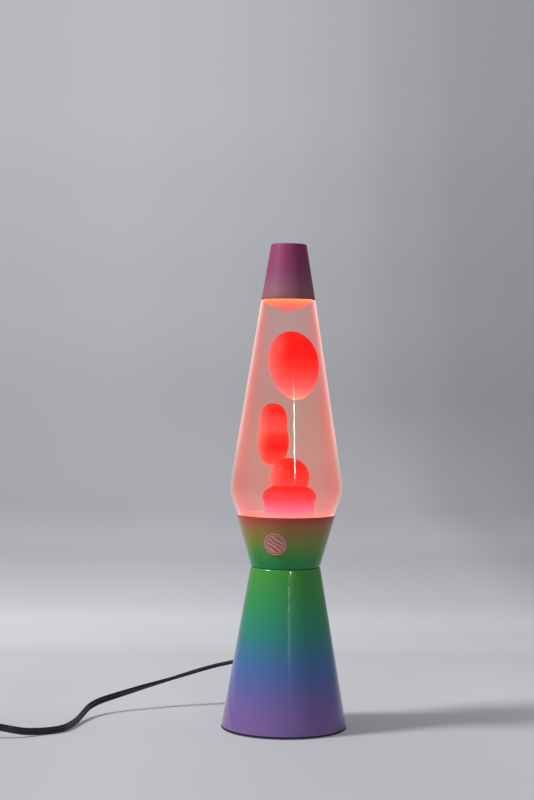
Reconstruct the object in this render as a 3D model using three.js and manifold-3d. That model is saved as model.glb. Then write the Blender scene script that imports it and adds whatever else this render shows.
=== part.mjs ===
// A lava lamp: a painted cone and cup that hold a tapered glass globe of clear liquid and wax, with a
// painted cap over the globe's neck. A small bulb under the globe heats and lights it from below.
// Millimetres, +Z up. The origin is the centre of the base on the table, and -Y is the lamp's front.

import * as THREE from 'three';
import { mergeVertices } from 'three/addons/utils/BufferGeometryUtils.js';
import Module from 'manifold-3d';

const wasm = await Module();
wasm.setup();

// Driving dimensions: the painted metal
const BASE_RADIUS = 47.8; // of the cone, at the table
const WAIST_HEIGHT = 123.2; // where the cup stands on the cone
const WAIST_LEDGE = 6.8; // width of the flat ring round the waist's hole
const CUP_HEIGHT = 39.4;
const RIM_RADIUS = 37.6; // of the cup's top edge
const SHEET = 0.8; // thickness of the painted steel
const CAP_HEIGHT = 42.1;
const CAP_TOP_RADIUS = 13.4;
const CAP_EDGE = 1.2; // rounding of the cap's top edge
const CAP_SHEET = 0.7;
const CAP_INSET = 0.1; // the cap's lower edge is this much narrower than the shoulder it rests on
const CAP_SEAT = 0.5; // and this much over it, on the shoulder's rounding

// Driving dimensions: the globe
const GLOBE_LIFT = 7.8; // underside of the glass over the waist
const GLOBE_ROOM = 3.66; // between the globe's foot and the cup
const BELLY_RISE = 49.4; // from the underside to where the two tapers would meet
const BELLY_FILLET = 30; // rounding of the belly
const SHOULDER_RISE = 194.4; // from the underside to the ledge that the cap rests on
const SHOULDER_RADIUS = 20.5;
const SHOULDER_WIDTH = 1.8;
const NECK_RISE = 14.1; // from the shoulder to where the neck becomes straight
const NECK_STRAIGHT = 12;
const NECK_WALL = 3.2;
const GLASS = 2.2; // wall of the globe
const FLOOR_GLASS = 3; // its bottom
const FOOT_FILLET = 4.5;
const INNER_SHOULDER_DROP = 2.4; // the inner shoulder starts this far under the outer one

// Driving dimensions: the wax. HIGH and LOW are shares of the way from the globe's underside to its
// shoulder.
const LENS_DROP = 7.5; // from the shoulder down to the lowest point of the wax gathered at the top
const LENS_EDGE_DROP = 0.2; // where its rounded underside meets the glass
const FILL_RISE = 6.3; // from the shoulder up to the top of that wax
const EGG_X = 4.7; // the upper blob
const EGG_ROOM = 2.2; // between it and the glass
const EGG_LOW = 0.611;
const EGG_HIGH = 0.88;
const TWIN_X = -9.6; // the lower blob, which has two lobes
const TWIN_Y = 12;
const TWIN_RADIUS = 12;
const TWIN_LOW = 0.345;
const TWIN_HIGH = 0.586;
const MOUND_X = 2.4; // the mound stands this far off the axis
const MOUND_HIGH = 0.285;
const MOUND_RADIUS = 20.6;
const STALK_RADIUS = 17; // of the mound where it rises from the pool
const POOL_DEPTH = 15; // of the pool at the glass
const POOL_RISE = 5; // from its edge to the stalk
const DOME_Y = -3; // the dome is just clear of the mound
const DOME_RADIUS = 15.1;
const DOME_HIGH = 0.384;
const HEATER_CIRCLE = 14.5; // of the wire coil that lies on the globe's floor
const HEATER_RADIUS = 2.6; // outer radius of its turns
const BLEED_RADIUS = 0.75; // of the channels that join the pockets round the free blobs

// Driving dimensions: closure, bulb and socket
const CLOSURE_ROOM = 1.05; // between the closure and the painted cap
const CLOSURE_CLEARANCE = 0.8; // round the neck
const CLOSURE_HEIGHT = 12;
const CLOSURE_SHEET = 0.6;
const LINER = 0.5;
const BULB_RADIUS = 17.5;
const BULB_ROOM = 2.1; // round the bulb as it goes through the waist's hole
const BULB_TOP_ROOM = 4.53; // left over the bulb when it is unscrewed under the globe
const BULB_NECK = 3.1; // from the socket's top to where the glass is round
const BULB_BASE = 23; // from the bulb's lower end to the socket's top
const BULB_GLASS = 0.8;
const THREAD_RADIUS = 8.2; // of the bulb's screw base
const THREAD_CLEARANCE = 0.55;
const THREAD_PITCH = 2.822;
const THREAD_TURNS = 3; // turns that take the bulb out of the socket
const SOCKET_RADIUS = 12.5;
const SOCKET_FLOOR = 5;
const SOCKET_SLEEVE = 0.5;
const CONTACT_ROOM = 2.7; // from the socket's floor to the bulb's lower end
const STRAP = 1; // thickness of the socket's hanger
const STRAP_WIDTH = 14;
const NIPPLE_RADIUS = 4.8;
const NIPPLE_BORE = 3.5;
const NIPPLE_DROP = 6; // under the hanger
const NIPPLE_DEPTH = 2.7; // of its end in the socket
const NUT_FLATS = 14;
const NUT_HEIGHT = 3;
const RIVET_RADIUS = 1.3;
const RIVET_HEAD = 2.1;
const RIVET_HEAD_HEIGHT = 1.1;
const RIVET_INSET = 3.9; // from the waist's edge
const RIVET_CLEARANCE = 0.25;

// Driving dimensions: the base plate, its feet, and the sticker
const PLATE_RIM = 0.9; // thickness of the black edge that shows under the cone
const PLATE = 2;
const PLATE_LIP = 5; // height of the ring that centres the plate in the cone
const FOOT_LIFT = 0.6; // the plate stands this high on its feet
const FOOT_RADIUS = 4.5;
const FOOT_INSET = 11.8; // from the cone's edge
const FOOT_HEIGHT = 1.4;
const VENT_RADIUS = 2.5;
const VENT_CIRCLE = 20;
const VENT_COUNT = 8;
const STICKER_RADIUS = 9;
const STICKER_RISE = 19.4; // over the waist
const STICKER_TURN = -14.7; // degrees round from the front, towards -X
const STICKER = 0.3;

// Driving dimensions: cord, strain relief, switch and plug. Places are from the end of the strain relief.
const CORD_WIDTH = 5.4; // flat two-core cord; its solids are round, as wide as it is
const CORD_THICKNESS = 2.8;
const EXIT_HEIGHT = 35; // of the hole in the cone
const EXIT_TURN = 12; // degrees round from the rear, towards -X
const BOOT_LENGTH = 22;
const BOOT_RADIUS = 4.6;
const BOOT_TIP_RADIUS = 3.5;
const BOOT_FLANGE = 6.5;
const BOOT_FLANGE_THICKNESS = 1.4;
const BOOT_NECK = 4; // radius where it goes through the cone
const BOOT_INSIDE = 5; // its length inside the cone
const SWITCH_LENGTH = 58;
const SWITCH_WIDTH = 24;
const SWITCH_HEIGHT = 17;
const SWITCH_CORNER = 9;
const SWITCH_WALL = 2;
const SWITCH_PLACE = [-241.8, -114];
const CORD_IN_SWITCH = 9; // height of the cord through it
const ROCKER_LENGTH = 18;
const ROCKER_WIDTH = 9;
const ROCKER_PROUD = 2.4;
const ROCKER_DEPTH = 4.4; // of the rocker under the switch's top
const ROCKER_TILT = 7; // degrees each way from level
const ROCKER_CLEARANCE = 0.6;
const WINDING_PLACE = [-251.8, -57];
const WINDING_MIDDLE = 32.4; // radius at the middle of the turns
const WINDING_ACROSS = 3; // turns side by side
const WINDING_LAYERS = 2;
const TURN_GAP = 0.3; // between neighbouring turns
const TIE = 0.5;
const TIE_WIDTH = 4;
const TIE_TURN = -60; // degrees round the winding
const PLUG_PLACE = [-289.8, 0]; // of the end where the cord goes in
const PLUG_LENGTH = 44; // with its tapered tail
const PLUG_TAIL = 18;
const PLUG_WIDTH = 23;
const PLUG_THICKNESS = 14;
const BLADE_LENGTH = 17;
const BLADE_WIDTH = 6.35;
const BLADE_THICKNESS = 1.5;
const BLADE_SPACING = 12.7;
const BLADE_POCKET = 4;

const GAP = 0.3; // between pieces that touch

// How finely round shapes are cut
const LARGE_ROUND = 40;
const MEDIUM_ROUND = 20;
const SMALL_ROUND = 10;
const CORD_SIDES = 8;

const radians = THREE.MathUtils.degToRad;
const lamp = new THREE.Group();

// Materials: colour, roughness, metalness
function finish(colour, roughness, metalness = 0) {
  return new THREE.MeshStandardMaterial({ color: colour, roughness, metalness });
}

function clearFinish(colour, roughness, opacity) {
  return new THREE.MeshStandardMaterial({ color: colour, roughness, transparent: true, opacity });
}

function add(name, geometry, material) {
  const mesh = new THREE.Mesh(geometry, material);
  mesh.name = name;
  lamp.add(mesh);
  return mesh;
}

// Geometry helpers

// The point where two lines meet, each given by a point and a direction.
function meeting(p, u, q, v) {
  const across = u.x * v.y - u.y * v.x;
  const along = ((q.x - p.x) * v.y - (q.y - p.y) * v.x) / across;
  return new THREE.Vector2(p.x + u.x * along, p.y + u.y * along);
}

// An outline from corners [radius, height, fillet]: a corner with a fillet becomes an arc.
function outline(corners, steps = 3) {
  const points = [];
  corners.forEach(([r, z, fillet = 0], i) => {
    const corner = new THREE.Vector2(r, z);
    if (fillet === 0) {
      points.push(corner);
      return;
    }
    const before = new THREE.Vector2(corners[i - 1][0], corners[i - 1][1]).sub(corner).normalize();
    const after = new THREE.Vector2(corners[i + 1][0], corners[i + 1][1]).sub(corner).normalize();
    const half = before.angleTo(after) / 2;
    const start = corner.clone().addScaledVector(before, fillet / Math.tan(half));
    const middle = before.clone().add(after).normalize();
    const centre = corner.clone().addScaledVector(middle, fillet / Math.sin(half));
    const turn = Math.sign(after.cross(before)) * (Math.PI - 2 * half);
    for (let k = 0; k <= steps; k += 1) {
      points.push(start.clone().rotateAround(centre, (turn * k) / steps));
    }
  });
  return points;
}

// A solid of revolution about +Z. The outline runs up the outside; a ring's outline is closed here.
function turned(points, segments = MEDIUM_ROUND) {
  const list = points.map((p) => (p.isVector2 ? p : new THREE.Vector2(p[0], p[1])));
  const onAxis = list[0].x === 0 && list[list.length - 1].x === 0;
  if (!onAxis) list.push(list[0].clone());
  return new THREE.LatheGeometry(list, segments).rotateX(Math.PI / 2);
}

function tube(inner, outer, low, high, segments = MEDIUM_ROUND) {
  return turned([[inner, low], [outer, low], [outer, high], [inner, high]], segments);
}

function disc(radius, low, high, segments = MEDIUM_ROUND) {
  return turned([[0, low], [radius, low], [radius, high], [0, high]], segments);
}

function block(x0, x1, y0, y1, z0, z1) {
  return new THREE.BoxGeometry(x1 - x0, y1 - y0, z1 - z0)
    .translate((x0 + x1) / 2, (y0 + y1) / 2, (z0 + z1) / 2);
}

function solidOf(geometry) {
  const bare = geometry.clone();
  bare.deleteAttribute('normal');
  bare.deleteAttribute('uv');
  const merged = mergeVertices(bare, 1e-4);
  const index = merged.index.array;
  const kept = [];
  for (let i = 0; i < index.length; i += 3) {
    const [a, b, c] = [index[i], index[i + 1], index[i + 2]];
    if (a !== b && b !== c && c !== a) kept.push(a, b, c);
  }
  const vertProperties = new Float32Array(merged.attributes.position.array);
  return new wasm.Manifold(new wasm.Mesh({ numProp: 3, vertProperties, triVerts: new Uint32Array(kept) }));
}

function geometryOf(solid) {
  const { vertProperties, triVerts } = solid.getMesh();
  const geometry = new THREE.BufferGeometry();
  geometry.setAttribute('position', new THREE.BufferAttribute(vertProperties, 3));
  geometry.setIndex(new THREE.BufferAttribute(triVerts, 1));
  geometry.computeVertexNormals();
  return geometry;
}

function cut(geometry, ...tools) {
  return geometryOf(tools.reduce((solid, tool) => solid.subtract(solidOf(tool)), solidOf(geometry)));
}

function joined(first, ...others) {
  return geometryOf(others.reduce((solid, other) => solid.add(solidOf(other)), solidOf(first)));
}

function common(first, second) {
  return geometryOf(solidOf(first).intersect(solidOf(second)));
}

// A round rod along points, with flat ends.
function rod(points, radius, steps, sides = CORD_SIDES) {
  const path = new THREE.CatmullRomCurve3(points.map((p) => new THREE.Vector3(...p)), false, 'centripetal');
  const section = new THREE.Shape();
  section.absarc(0, 0, radius, 0, 2 * Math.PI);
  return new THREE.ExtrudeGeometry(section, { steps, extrudePath: path, curveSegments: sides / 2 });
}

// A rounded rectangle in plan, extruded upwards.
function pill(length, width, corner, low, high) {
  const [x, y] = [length / 2, width / 2];
  const shape = new THREE.Shape();
  shape.moveTo(-x + corner, -y);
  shape.lineTo(x - corner, -y);
  shape.absarc(x - corner, -y + corner, corner, -Math.PI / 2, 0);
  shape.lineTo(x, y - corner);
  shape.absarc(x - corner, y - corner, corner, 0, Math.PI / 2);
  shape.lineTo(-x + corner, y);
  shape.absarc(-x + corner, y - corner, corner, Math.PI / 2, Math.PI);
  shape.lineTo(-x, -y + corner);
  shape.absarc(-x + corner, -y + corner, corner, Math.PI, 1.5 * Math.PI);
  const options = { depth: high - low, bevelEnabled: false, curveSegments: 5 };
  return new THREE.ExtrudeGeometry(shape, options).translate(0, 0, low);
}

// Painted metal: cone, cup and cap

const holeRadius = BULB_RADIUS + BULB_ROOM; // the bulb is changed through the waist's hole
const waistRadius = holeRadius + WAIST_LEDGE;
const rimHeight = WAIST_HEIGHT + CUP_HEIGHT;
const globeBottom = WAIST_HEIGHT + GLOBE_LIFT;
const shoulderHeight = globeBottom + SHOULDER_RISE;
const capBottom = shoulderHeight + CAP_SEAT;
const capTop = capBottom + CAP_HEIGHT;
const coneLean = Math.atan2(BASE_RADIUS - waistRadius, WAIST_HEIGHT);
const cupLean = Math.atan2(RIM_RADIUS - waistRadius, CUP_HEIGHT);
const capLean = Math.atan2(SHOULDER_RADIUS - CAP_INSET - CAP_TOP_RADIUS, CAP_HEIGHT);
const coneBottom = FOOT_LIFT + PLATE_RIM + GAP;
const coneTop = WAIST_HEIGHT - GAP;
const coneOuter = (z) => BASE_RADIUS - z * Math.tan(coneLean);
const coneInner = (z) => coneOuter(z) - SHEET / Math.cos(coneLean);
const cupOuter = (z) => waistRadius + (z - WAIST_HEIGHT) * Math.tan(cupLean);
const cupInner = (z) => cupOuter(z) - SHEET / Math.cos(cupLean);
const capOuter = (z) => CAP_TOP_RADIUS + (capTop - z) * Math.tan(capLean);
const capInner = (z) => capOuter(z) - CAP_SHEET / Math.cos(capLean);

// Places of the four waist rivets, as turns from +X. The first and third also hold the socket's hanger.
const rivetTurns = [0, 90, 180, 270];
const rivetCircle = waistRadius - RIVET_INSET;

function atTurn(geometry, radius, degrees) {
  return geometry.translate(radius, 0, 0).rotateZ(radians(degrees));
}

function rivetHoles(low, high) {
  return rivetTurns.map((turn) =>
    atTurn(disc(RIVET_RADIUS + RIVET_CLEARANCE, low, high, SMALL_ROUND), rivetCircle, turn));
}

// Moves a piece made along +Z from the origin to the cord's exit, pointing out of the cone's wall.
function atExit(geometry) {
  return geometry
    .rotateX(-Math.PI / 2 + coneLean)
    .translate(0, coneOuter(EXIT_HEIGHT), EXIT_HEIGHT)
    .rotateZ(radians(EXIT_TURN));
}

function makeCone() {
  const shell = turned([
    [coneInner(coneBottom), coneBottom],
    [coneOuter(coneBottom), coneBottom],
    [coneOuter(coneTop), coneTop],
    [holeRadius, coneTop],
    [holeRadius, coneTop - SHEET],
    [coneInner(coneTop - SHEET), coneTop - SHEET],
  ], LARGE_ROUND);
  const exitHole = atExit(disc(BOOT_NECK + GAP, -2 * SHEET - 2, 2, MEDIUM_ROUND));
  return cut(shell, exitHole, ...rivetHoles(coneTop - SHEET - 1, coneTop + 1));
}

function makeCup() {
  const shell = turned([
    [holeRadius, WAIST_HEIGHT],
    [cupOuter(WAIST_HEIGHT), WAIST_HEIGHT],
    [cupOuter(rimHeight), rimHeight],
    [cupInner(rimHeight), rimHeight],
    [cupInner(WAIST_HEIGHT + SHEET), WAIST_HEIGHT + SHEET],
    [holeRadius, WAIST_HEIGHT + SHEET],
  ], LARGE_ROUND);
  return cut(shell, ...rivetHoles(WAIST_HEIGHT - 1, WAIST_HEIGHT + SHEET + 1));
}

function makeCap() {
  return turned([
    [0, capTop - CAP_SHEET],
    [capInner(capTop - CAP_SHEET), capTop - CAP_SHEET],
    [capInner(capBottom), capBottom],
    [capOuter(capBottom), capBottom],
    ...outline([
      [capOuter(capBottom), capBottom],
      [CAP_TOP_RADIUS, capTop, CAP_EDGE],
      [0, capTop],
    ], 3).slice(1),
  ], LARGE_ROUND);
}

const greenPaint = finish(0x3f8f4d, 0.25);
const violetPaint = finish(0x8a3f70, 0.25);
add('base_cone', makeCone(), finish(0x4a6aa0, 0.25));
add('cup', makeCup(), greenPaint);
add('top_cap', makeCap(), violetPaint);

// The base plate closes the cone's bottom and stands on four rubber feet.

const plateTop = FOOT_LIFT + PLATE;
const footTurns = [45, 135, 225, 315];
const footCircle = BASE_RADIUS - FOOT_INSET;
const footTop = FOOT_HEIGHT - GAP;

function makePlate() {
  const lipOuter = coneInner(coneBottom) - GAP;
  const lipTop = coneInner(plateTop + PLATE_LIP) - GAP;
  const dish = turned([
    [0, FOOT_LIFT],
    [coneOuter(FOOT_LIFT), FOOT_LIFT],
    [coneOuter(FOOT_LIFT), FOOT_LIFT + PLATE_RIM],
    [lipOuter, FOOT_LIFT + PLATE_RIM],
    [lipTop, plateTop + PLATE_LIP],
    [lipTop - PLATE, plateTop + PLATE_LIP],
    [lipTop - PLATE, plateTop],
    [0, plateTop],
  ], LARGE_ROUND);
  const recesses = footTurns.map((turn) =>
    atTurn(disc(FOOT_RADIUS + GAP, 0, FOOT_HEIGHT, SMALL_ROUND), footCircle, turn));
  const vents = Array.from({ length: VENT_COUNT }, (_, i) =>
    atTurn(disc(VENT_RADIUS, 0, plateTop + 1, SMALL_ROUND), VENT_CIRCLE, (360 * i) / VENT_COUNT));
  return cut(dish, ...recesses, ...vents);
}

const blackPlastic = finish(0x151517, 0.5);
const blackRubber = finish(0x0c0c0d, 0.8);
add('base_plate', makePlate(), blackPlastic);
footTurns.forEach((turn, i) => {
  add(`foot_${i + 1}`, atTurn(disc(FOOT_RADIUS, 0, footTop, SMALL_ROUND), footCircle, turn), blackRubber);
});

// Four rivets hold the cup to the cone. Two are longer and hold the socket's hanger as well.

const flangeUnder = coneTop - SHEET;
const hangerTop = flangeUnder - GAP;

function makeRivet(under) {
  const over = WAIST_HEIGHT + SHEET + GAP;
  return turned([
    [0, under - RIVET_HEAD_HEIGHT],
    [RIVET_HEAD - 0.4, under - RIVET_HEAD_HEIGHT],
    [RIVET_HEAD, under],
    [RIVET_RADIUS, under],
    [RIVET_RADIUS, over],
    [RIVET_HEAD, over],
    [RIVET_HEAD - 0.4, over + RIVET_HEAD_HEIGHT],
    [0, over + RIVET_HEAD_HEIGHT],
  ], SMALL_ROUND);
}

const zincSteel = finish(0xb8bcc0, 0.35, 0.9);
rivetTurns.forEach((turn, i) => {
  const under = (i % 2 === 0 ? hangerTop - STRAP : flangeUnder) - GAP;
  add(`waist_rivet_${i + 1}`, atTurn(makeRivet(under), rivetCircle, turn), zincSteel);
});

// The socket's hanger is one bent strap: two flanges, two legs and a floor with a hole for the nipple.
// It holds the socket so high that the bulb can be unscrewed under the globe.

const bulbTop = globeBottom - THREAD_TURNS * THREAD_PITCH - BULB_TOP_ROOM;
const bulbCentre = bulbTop - BULB_RADIUS;
const bulbLowest = -50; // degrees; the glass is round from here up
const socketTop = bulbCentre + BULB_RADIUS * Math.sin(radians(bulbLowest)) - BULB_NECK;
const bulbFoot = socketTop - BULB_BASE;
const socketFloor = bulbFoot - CONTACT_ROOM;
const socketBottom = socketFloor - SOCKET_FLOOR;
const hangerBottom = socketBottom - GAP - STRAP;
const strapReach = rivetCircle - RIVET_HEAD - 0.4;
const strapFlange = rivetCircle + RIVET_HEAD;

function makeHanger() {
  const shape = new THREE.Shape([
    [-strapFlange, hangerTop],
    [-strapFlange, hangerTop - STRAP],
    [-strapReach, hangerTop - STRAP],
    [-strapReach, hangerBottom],
    [strapReach, hangerBottom],
    [strapReach, hangerTop - STRAP],
    [strapFlange, hangerTop - STRAP],
    [strapFlange, hangerTop],
    [strapReach - STRAP, hangerTop],
    [strapReach - STRAP, hangerBottom + STRAP],
    [-strapReach + STRAP, hangerBottom + STRAP],
    [-strapReach + STRAP, hangerTop],
  ].map(([x, z]) => new THREE.Vector2(x, z)));
  const strap = new THREE.ExtrudeGeometry(shape, { depth: STRAP_WIDTH, bevelEnabled: false })
    .rotateX(Math.PI / 2)
    .translate(0, STRAP_WIDTH / 2, 0);
  const nippleHole = disc(NIPPLE_RADIUS + GAP, hangerBottom - 1, hangerBottom + STRAP + 1, SMALL_ROUND);
  return cut(strap, nippleHole, ...rivetHoles(hangerTop - STRAP - 1, hangerTop + 1));
}

const sleeveInner = THREAD_RADIUS + THREAD_CLEARANCE;
const socketBore = sleeveInner + SOCKET_SLEEVE + GAP;
const nippleBottom = hangerBottom - NIPPLE_DROP;
const nippleTop = socketBottom + NIPPLE_DEPTH;

function makeSocketBody() {
  const chamfer = 0.8;
  return turned([
    [0, nippleTop + GAP],
    [NIPPLE_RADIUS + GAP, nippleTop + GAP],
    [NIPPLE_RADIUS + GAP, socketBottom],
    [SOCKET_RADIUS - chamfer, socketBottom],
    [SOCKET_RADIUS, socketBottom + chamfer],
    [SOCKET_RADIUS, socketTop - chamfer],
    [SOCKET_RADIUS - chamfer, socketTop],
    [socketBore, socketTop],
    [socketBore, socketFloor],
    [0, socketFloor],
  ]);
}

const contactTop = bulbFoot - 0.4;
add('socket_hanger', makeHanger(), zincSteel);
add('socket_body', makeSocketBody(), finish(0x1c1a19, 0.45));
add('socket_sleeve', tube(sleeveInner, sleeveInner + SOCKET_SLEEVE, socketFloor + GAP, socketTop - 2),
  finish(0xb58d3d, 0.3, 0.9));
add('socket_contact', turned([
  [0, socketFloor + GAP],
  [4, socketFloor + GAP],
  [4, socketFloor + 1],
  [2.4, contactTop],
  [0, contactTop],
], SMALL_ROUND), finish(0xc09a4a, 0.3, 0.9));
add('socket_nipple', tube(NIPPLE_BORE, NIPPLE_RADIUS, nippleBottom, nippleTop, SMALL_ROUND), zincSteel);

function makeNut() {
  const top = hangerBottom - GAP;
  const hexagon = disc(NUT_FLATS / Math.sqrt(3), top - NUT_HEIGHT, top, 6);
  return cut(hexagon, disc(NIPPLE_RADIUS + GAP, top - NUT_HEIGHT - 1, top + 1, SMALL_ROUND));
}

add('socket_nut', makeNut(), zincSteel);

// The bulb: a small clear globe on a threaded shell

const bulbShellBottom = bulbFoot + 3;
const bulbShellTop = socketTop - 2;
const bulbNeck = THREAD_RADIUS - 0.2;

function bulbOutline(wall) {
  const radius = BULB_RADIUS - wall;
  const points = [bulbShellTop + GAP, socketTop + GAP].map((z) => new THREE.Vector2(bulbNeck - wall, z));
  for (let i = 0; i <= 9; i += 1) {
    const angle = radians(bulbLowest + ((90 - bulbLowest) * i) / 9);
    const reach = i === 9 ? 0 : radius * Math.cos(angle);
    points.push(new THREE.Vector2(reach, bulbCentre + radius * Math.sin(angle)));
  }
  return points;
}

const clearGlass = clearFinish(0xffffff, 0.05, 0.3);
add('bulb_glass', turned([...bulbOutline(BULB_GLASS).reverse(), ...bulbOutline(0)]), clearGlass);
add('bulb_shell', tube(bulbNeck - 1.2, THREAD_RADIUS, bulbShellBottom, bulbShellTop),
  finish(0xc8b98a, 0.3, 0.9));
add('bulb_insulator', turned([
  [0, bulbFoot + 1],
  [3.4, bulbFoot + 1],
  [THREAD_RADIUS - 0.6, bulbShellBottom - GAP],
  [0, bulbShellBottom - GAP],
]), finish(0x101012, 0.2));
add('bulb_foot_contact', disc(2.2, bulbFoot, bulbFoot + 1 - GAP, SMALL_ROUND), finish(0xb9bcc0, 0.35, 0.9));
add('bulb_filament', rod([
  [-2.2, 0, bulbShellTop + 1],
  [-2.6, 0, bulbShellTop + 6],
  [-6, 0, bulbCentre],
  [0, 0, bulbCentre + 3],
  [6, 0, bulbCentre],
  [2.6, 0, bulbShellTop + 6],
  [2.2, 0, bulbShellTop + 1],
], 0.5, 16, 6), finish(0x9a9a9a, 0.4, 0.8));

// The globe: its outside, and its inside one glass wall in from it

const rimSeat = cupInner(rimHeight) - GAP; // the glass rests at the cup's rim
const globeFoot = cupInner(globeBottom) - GLOBE_ROOM;
const lowerTaper = (rimSeat - globeFoot) / (rimHeight - globeBottom);
const bellyHeight = globeBottom + BELLY_RISE;
const bellyRadius = globeFoot + BELLY_RISE * lowerTaper;
const upperTaper = (bellyRadius - SHOULDER_RADIUS) / (shoulderHeight - bellyHeight);
const lowerWall = GLASS * Math.hypot(1, lowerTaper);
const upperWall = GLASS * Math.hypot(1, upperTaper);
const innerFloor = globeBottom + FLOOR_GLASS;
const innerShoulder = shoulderHeight - INNER_SHOULDER_DROP;
const neckHeight = shoulderHeight + NECK_RISE;
const neckTop = neckHeight + NECK_STRAIGHT;
const linerLow = neckTop + GAP;
const closureInner = linerLow + LINER + GAP;
const closureTop = closureInner + CLOSURE_SHEET;
const closureRadius = capInner(closureTop) - CLOSURE_ROOM;
const neckRadius = closureRadius - CLOSURE_SHEET - CLOSURE_CLEARANCE;
const neckBore = neckRadius - NECK_WALL;
const lowerGlass = (z) => globeFoot + (z - globeBottom) * lowerTaper;
const upperGlass = (z) => bellyRadius - (z - bellyHeight) * upperTaper;

// Corners of the globe's inside, moved a further clearance inwards. The last is at the inner shoulder.
function insideCorners(clearance) {
  const belly = meeting(
    new THREE.Vector2(lowerGlass(innerFloor) - lowerWall - clearance, innerFloor),
    new THREE.Vector2(lowerTaper, 1),
    new THREE.Vector2(upperGlass(innerShoulder) - upperWall - clearance, innerShoulder),
    new THREE.Vector2(-upperTaper, 1),
  );
  const low = innerFloor + clearance;
  return [
    [0, low],
    [lowerGlass(low) - lowerWall - clearance, low, FOOT_FILLET - GLASS],
    [belly.x, belly.y, BELLY_FILLET - GLASS - clearance],
    [upperGlass(innerShoulder) - upperWall - clearance, innerShoulder],
  ];
}

// Radius of the inside between the inner shoulder and the neck, for the wax that gathers there.
function innerShoulderRadius(z) {
  const widest = upperGlass(innerShoulder) - upperWall;
  return widest + ((z - innerShoulder) * (neckBore - widest)) / (neckHeight - 1 - innerShoulder);
}

function makeGlass() {
  const outside = outline([
    [0, globeBottom],
    [globeFoot, globeBottom, FOOT_FILLET],
    [bellyRadius, bellyHeight, BELLY_FILLET],
    [SHOULDER_RADIUS, shoulderHeight, 1.2],
    [SHOULDER_RADIUS - SHOULDER_WIDTH, shoulderHeight + 0.1],
    [neckRadius, neckHeight],
    [neckRadius, neckTop],
    [neckBore, neckTop],
  ]);
  const inside = outline([...insideCorners(0), [neckBore, neckHeight - 1]]);
  return turned([...outside, ...inside.reverse()], LARGE_ROUND);
}

// Wax pieces, each with a clearance so that the liquid's pockets can be made by the same functions

const upGlobe = (share) => globeBottom + share * SHOULDER_RISE;
const [eggLow, eggHigh] = [upGlobe(EGG_LOW), upGlobe(EGG_HIGH)];
const [twinLow, twinHigh] = [upGlobe(TWIN_LOW), upGlobe(TWIN_HIGH)];
const eggMiddle = (eggLow + eggHigh) / 2;
const eggRadius = upperGlass(eggMiddle) - upperWall - EGG_X - EGG_ROOM;
const poolTop = innerFloor + POOL_DEPTH;
const moundTop = upGlobe(MOUND_HIGH);
const domeTop = upGlobe(DOME_HIGH);
const lensBottom = shoulderHeight - LENS_DROP;
const lensEdge = shoulderHeight - LENS_EDGE_DROP;
const fillHeight = shoulderHeight + FILL_RISE;

// A body of revolution from half-widths at heights, closed to a point at both ends.
function blob(x, y, low, high, width, clearance, rows = 10) {
  const points = [];
  for (let i = 0; i <= rows; i += 1) {
    const angle = (Math.PI * i) / rows;
    const share = (1 - Math.cos(angle)) / 2;
    const z = low - clearance + share * (high - low + 2 * clearance);
    const end = i === 0 || i === rows;
    points.push([end ? 0 : width(share) + clearance * Math.sin(angle), z]);
  }
  return turned(points).translate(x, y, 0);
}

// The upper blob is an egg, a little wider above its middle.
function upperBlob(clearance) {
  const width = (s) => 2 * eggRadius * Math.sqrt(s * (1 - s)) * (1 + 0.16 * (s - 0.5));
  return blob(EGG_X, 0, eggLow, eggHigh, width, clearance);
}

// The lower blob is drawn in at its waist, where it is about to part.
function lowerBlob(clearance) {
  const waist = (s) => 1 - 0.16 * Math.exp(-(((s - 0.6) / 0.16) ** 2));
  const width = (s) => TWIN_RADIUS * (4 * s * (1 - s)) ** 0.36 * waist(s);
  return blob(TWIN_X, TWIN_Y, twinLow, twinHigh, width, clearance);
}

// The pool of wax on the globe's floor. Its underside has a groove for the heat coil.
function makePoolFloor() {
  const low = innerFloor + GAP;
  const grooveTop = low + 2 * HEATER_RADIUS + GAP;
  const [inner, outer] = [HEATER_CIRCLE - HEATER_RADIUS - GAP, HEATER_CIRCLE + HEATER_RADIUS + GAP];
  const foot = FOOT_FILLET - GLASS;
  const wall = (z) => lowerGlass(z) - lowerWall - GAP;
  return turned([
    [0, low],
    [inner, low],
    [inner, grooveTop],
    [outer, grooveTop],
    [outer, low],
    [wall(low) - foot, low],
    [wall(low + foot), low + foot],
    [wall(poolTop), poolTop],
    [STALK_RADIUS, poolTop + POOL_RISE],
    [0, poolTop + POOL_RISE],
  ], LARGE_ROUND);
}

// All of the globe's inside under the pool's top, to cut the liquid back to it.
function poolSpace() {
  const edge = lowerGlass(poolTop);
  return turned([
    [0, innerFloor - 1],
    [edge, innerFloor - 1],
    [edge, poolTop + GAP],
    [STALK_RADIUS, poolTop + POOL_RISE + GAP],
    [0, poolTop + POOL_RISE + GAP],
  ], LARGE_ROUND);
}

function mound(clearance) {
  const foot = poolTop - 1;
  const middle = moundTop - 10.5;
  const points = [[0, foot], [STALK_RADIUS + clearance, foot], [STALK_RADIUS + clearance, foot + 13]];
  const rows = 7;
  for (let i = 0; i <= rows; i += 1) {
    const angle = radians(-20 + (110 * i) / rows);
    const radius = i === rows ? 0 : (MOUND_RADIUS + clearance) * Math.cos(angle);
    points.push([radius, middle + (moundTop - middle + clearance) * Math.sin(angle)]);
  }
  return turned(points).translate(MOUND_X, 0, 0);
}

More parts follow.
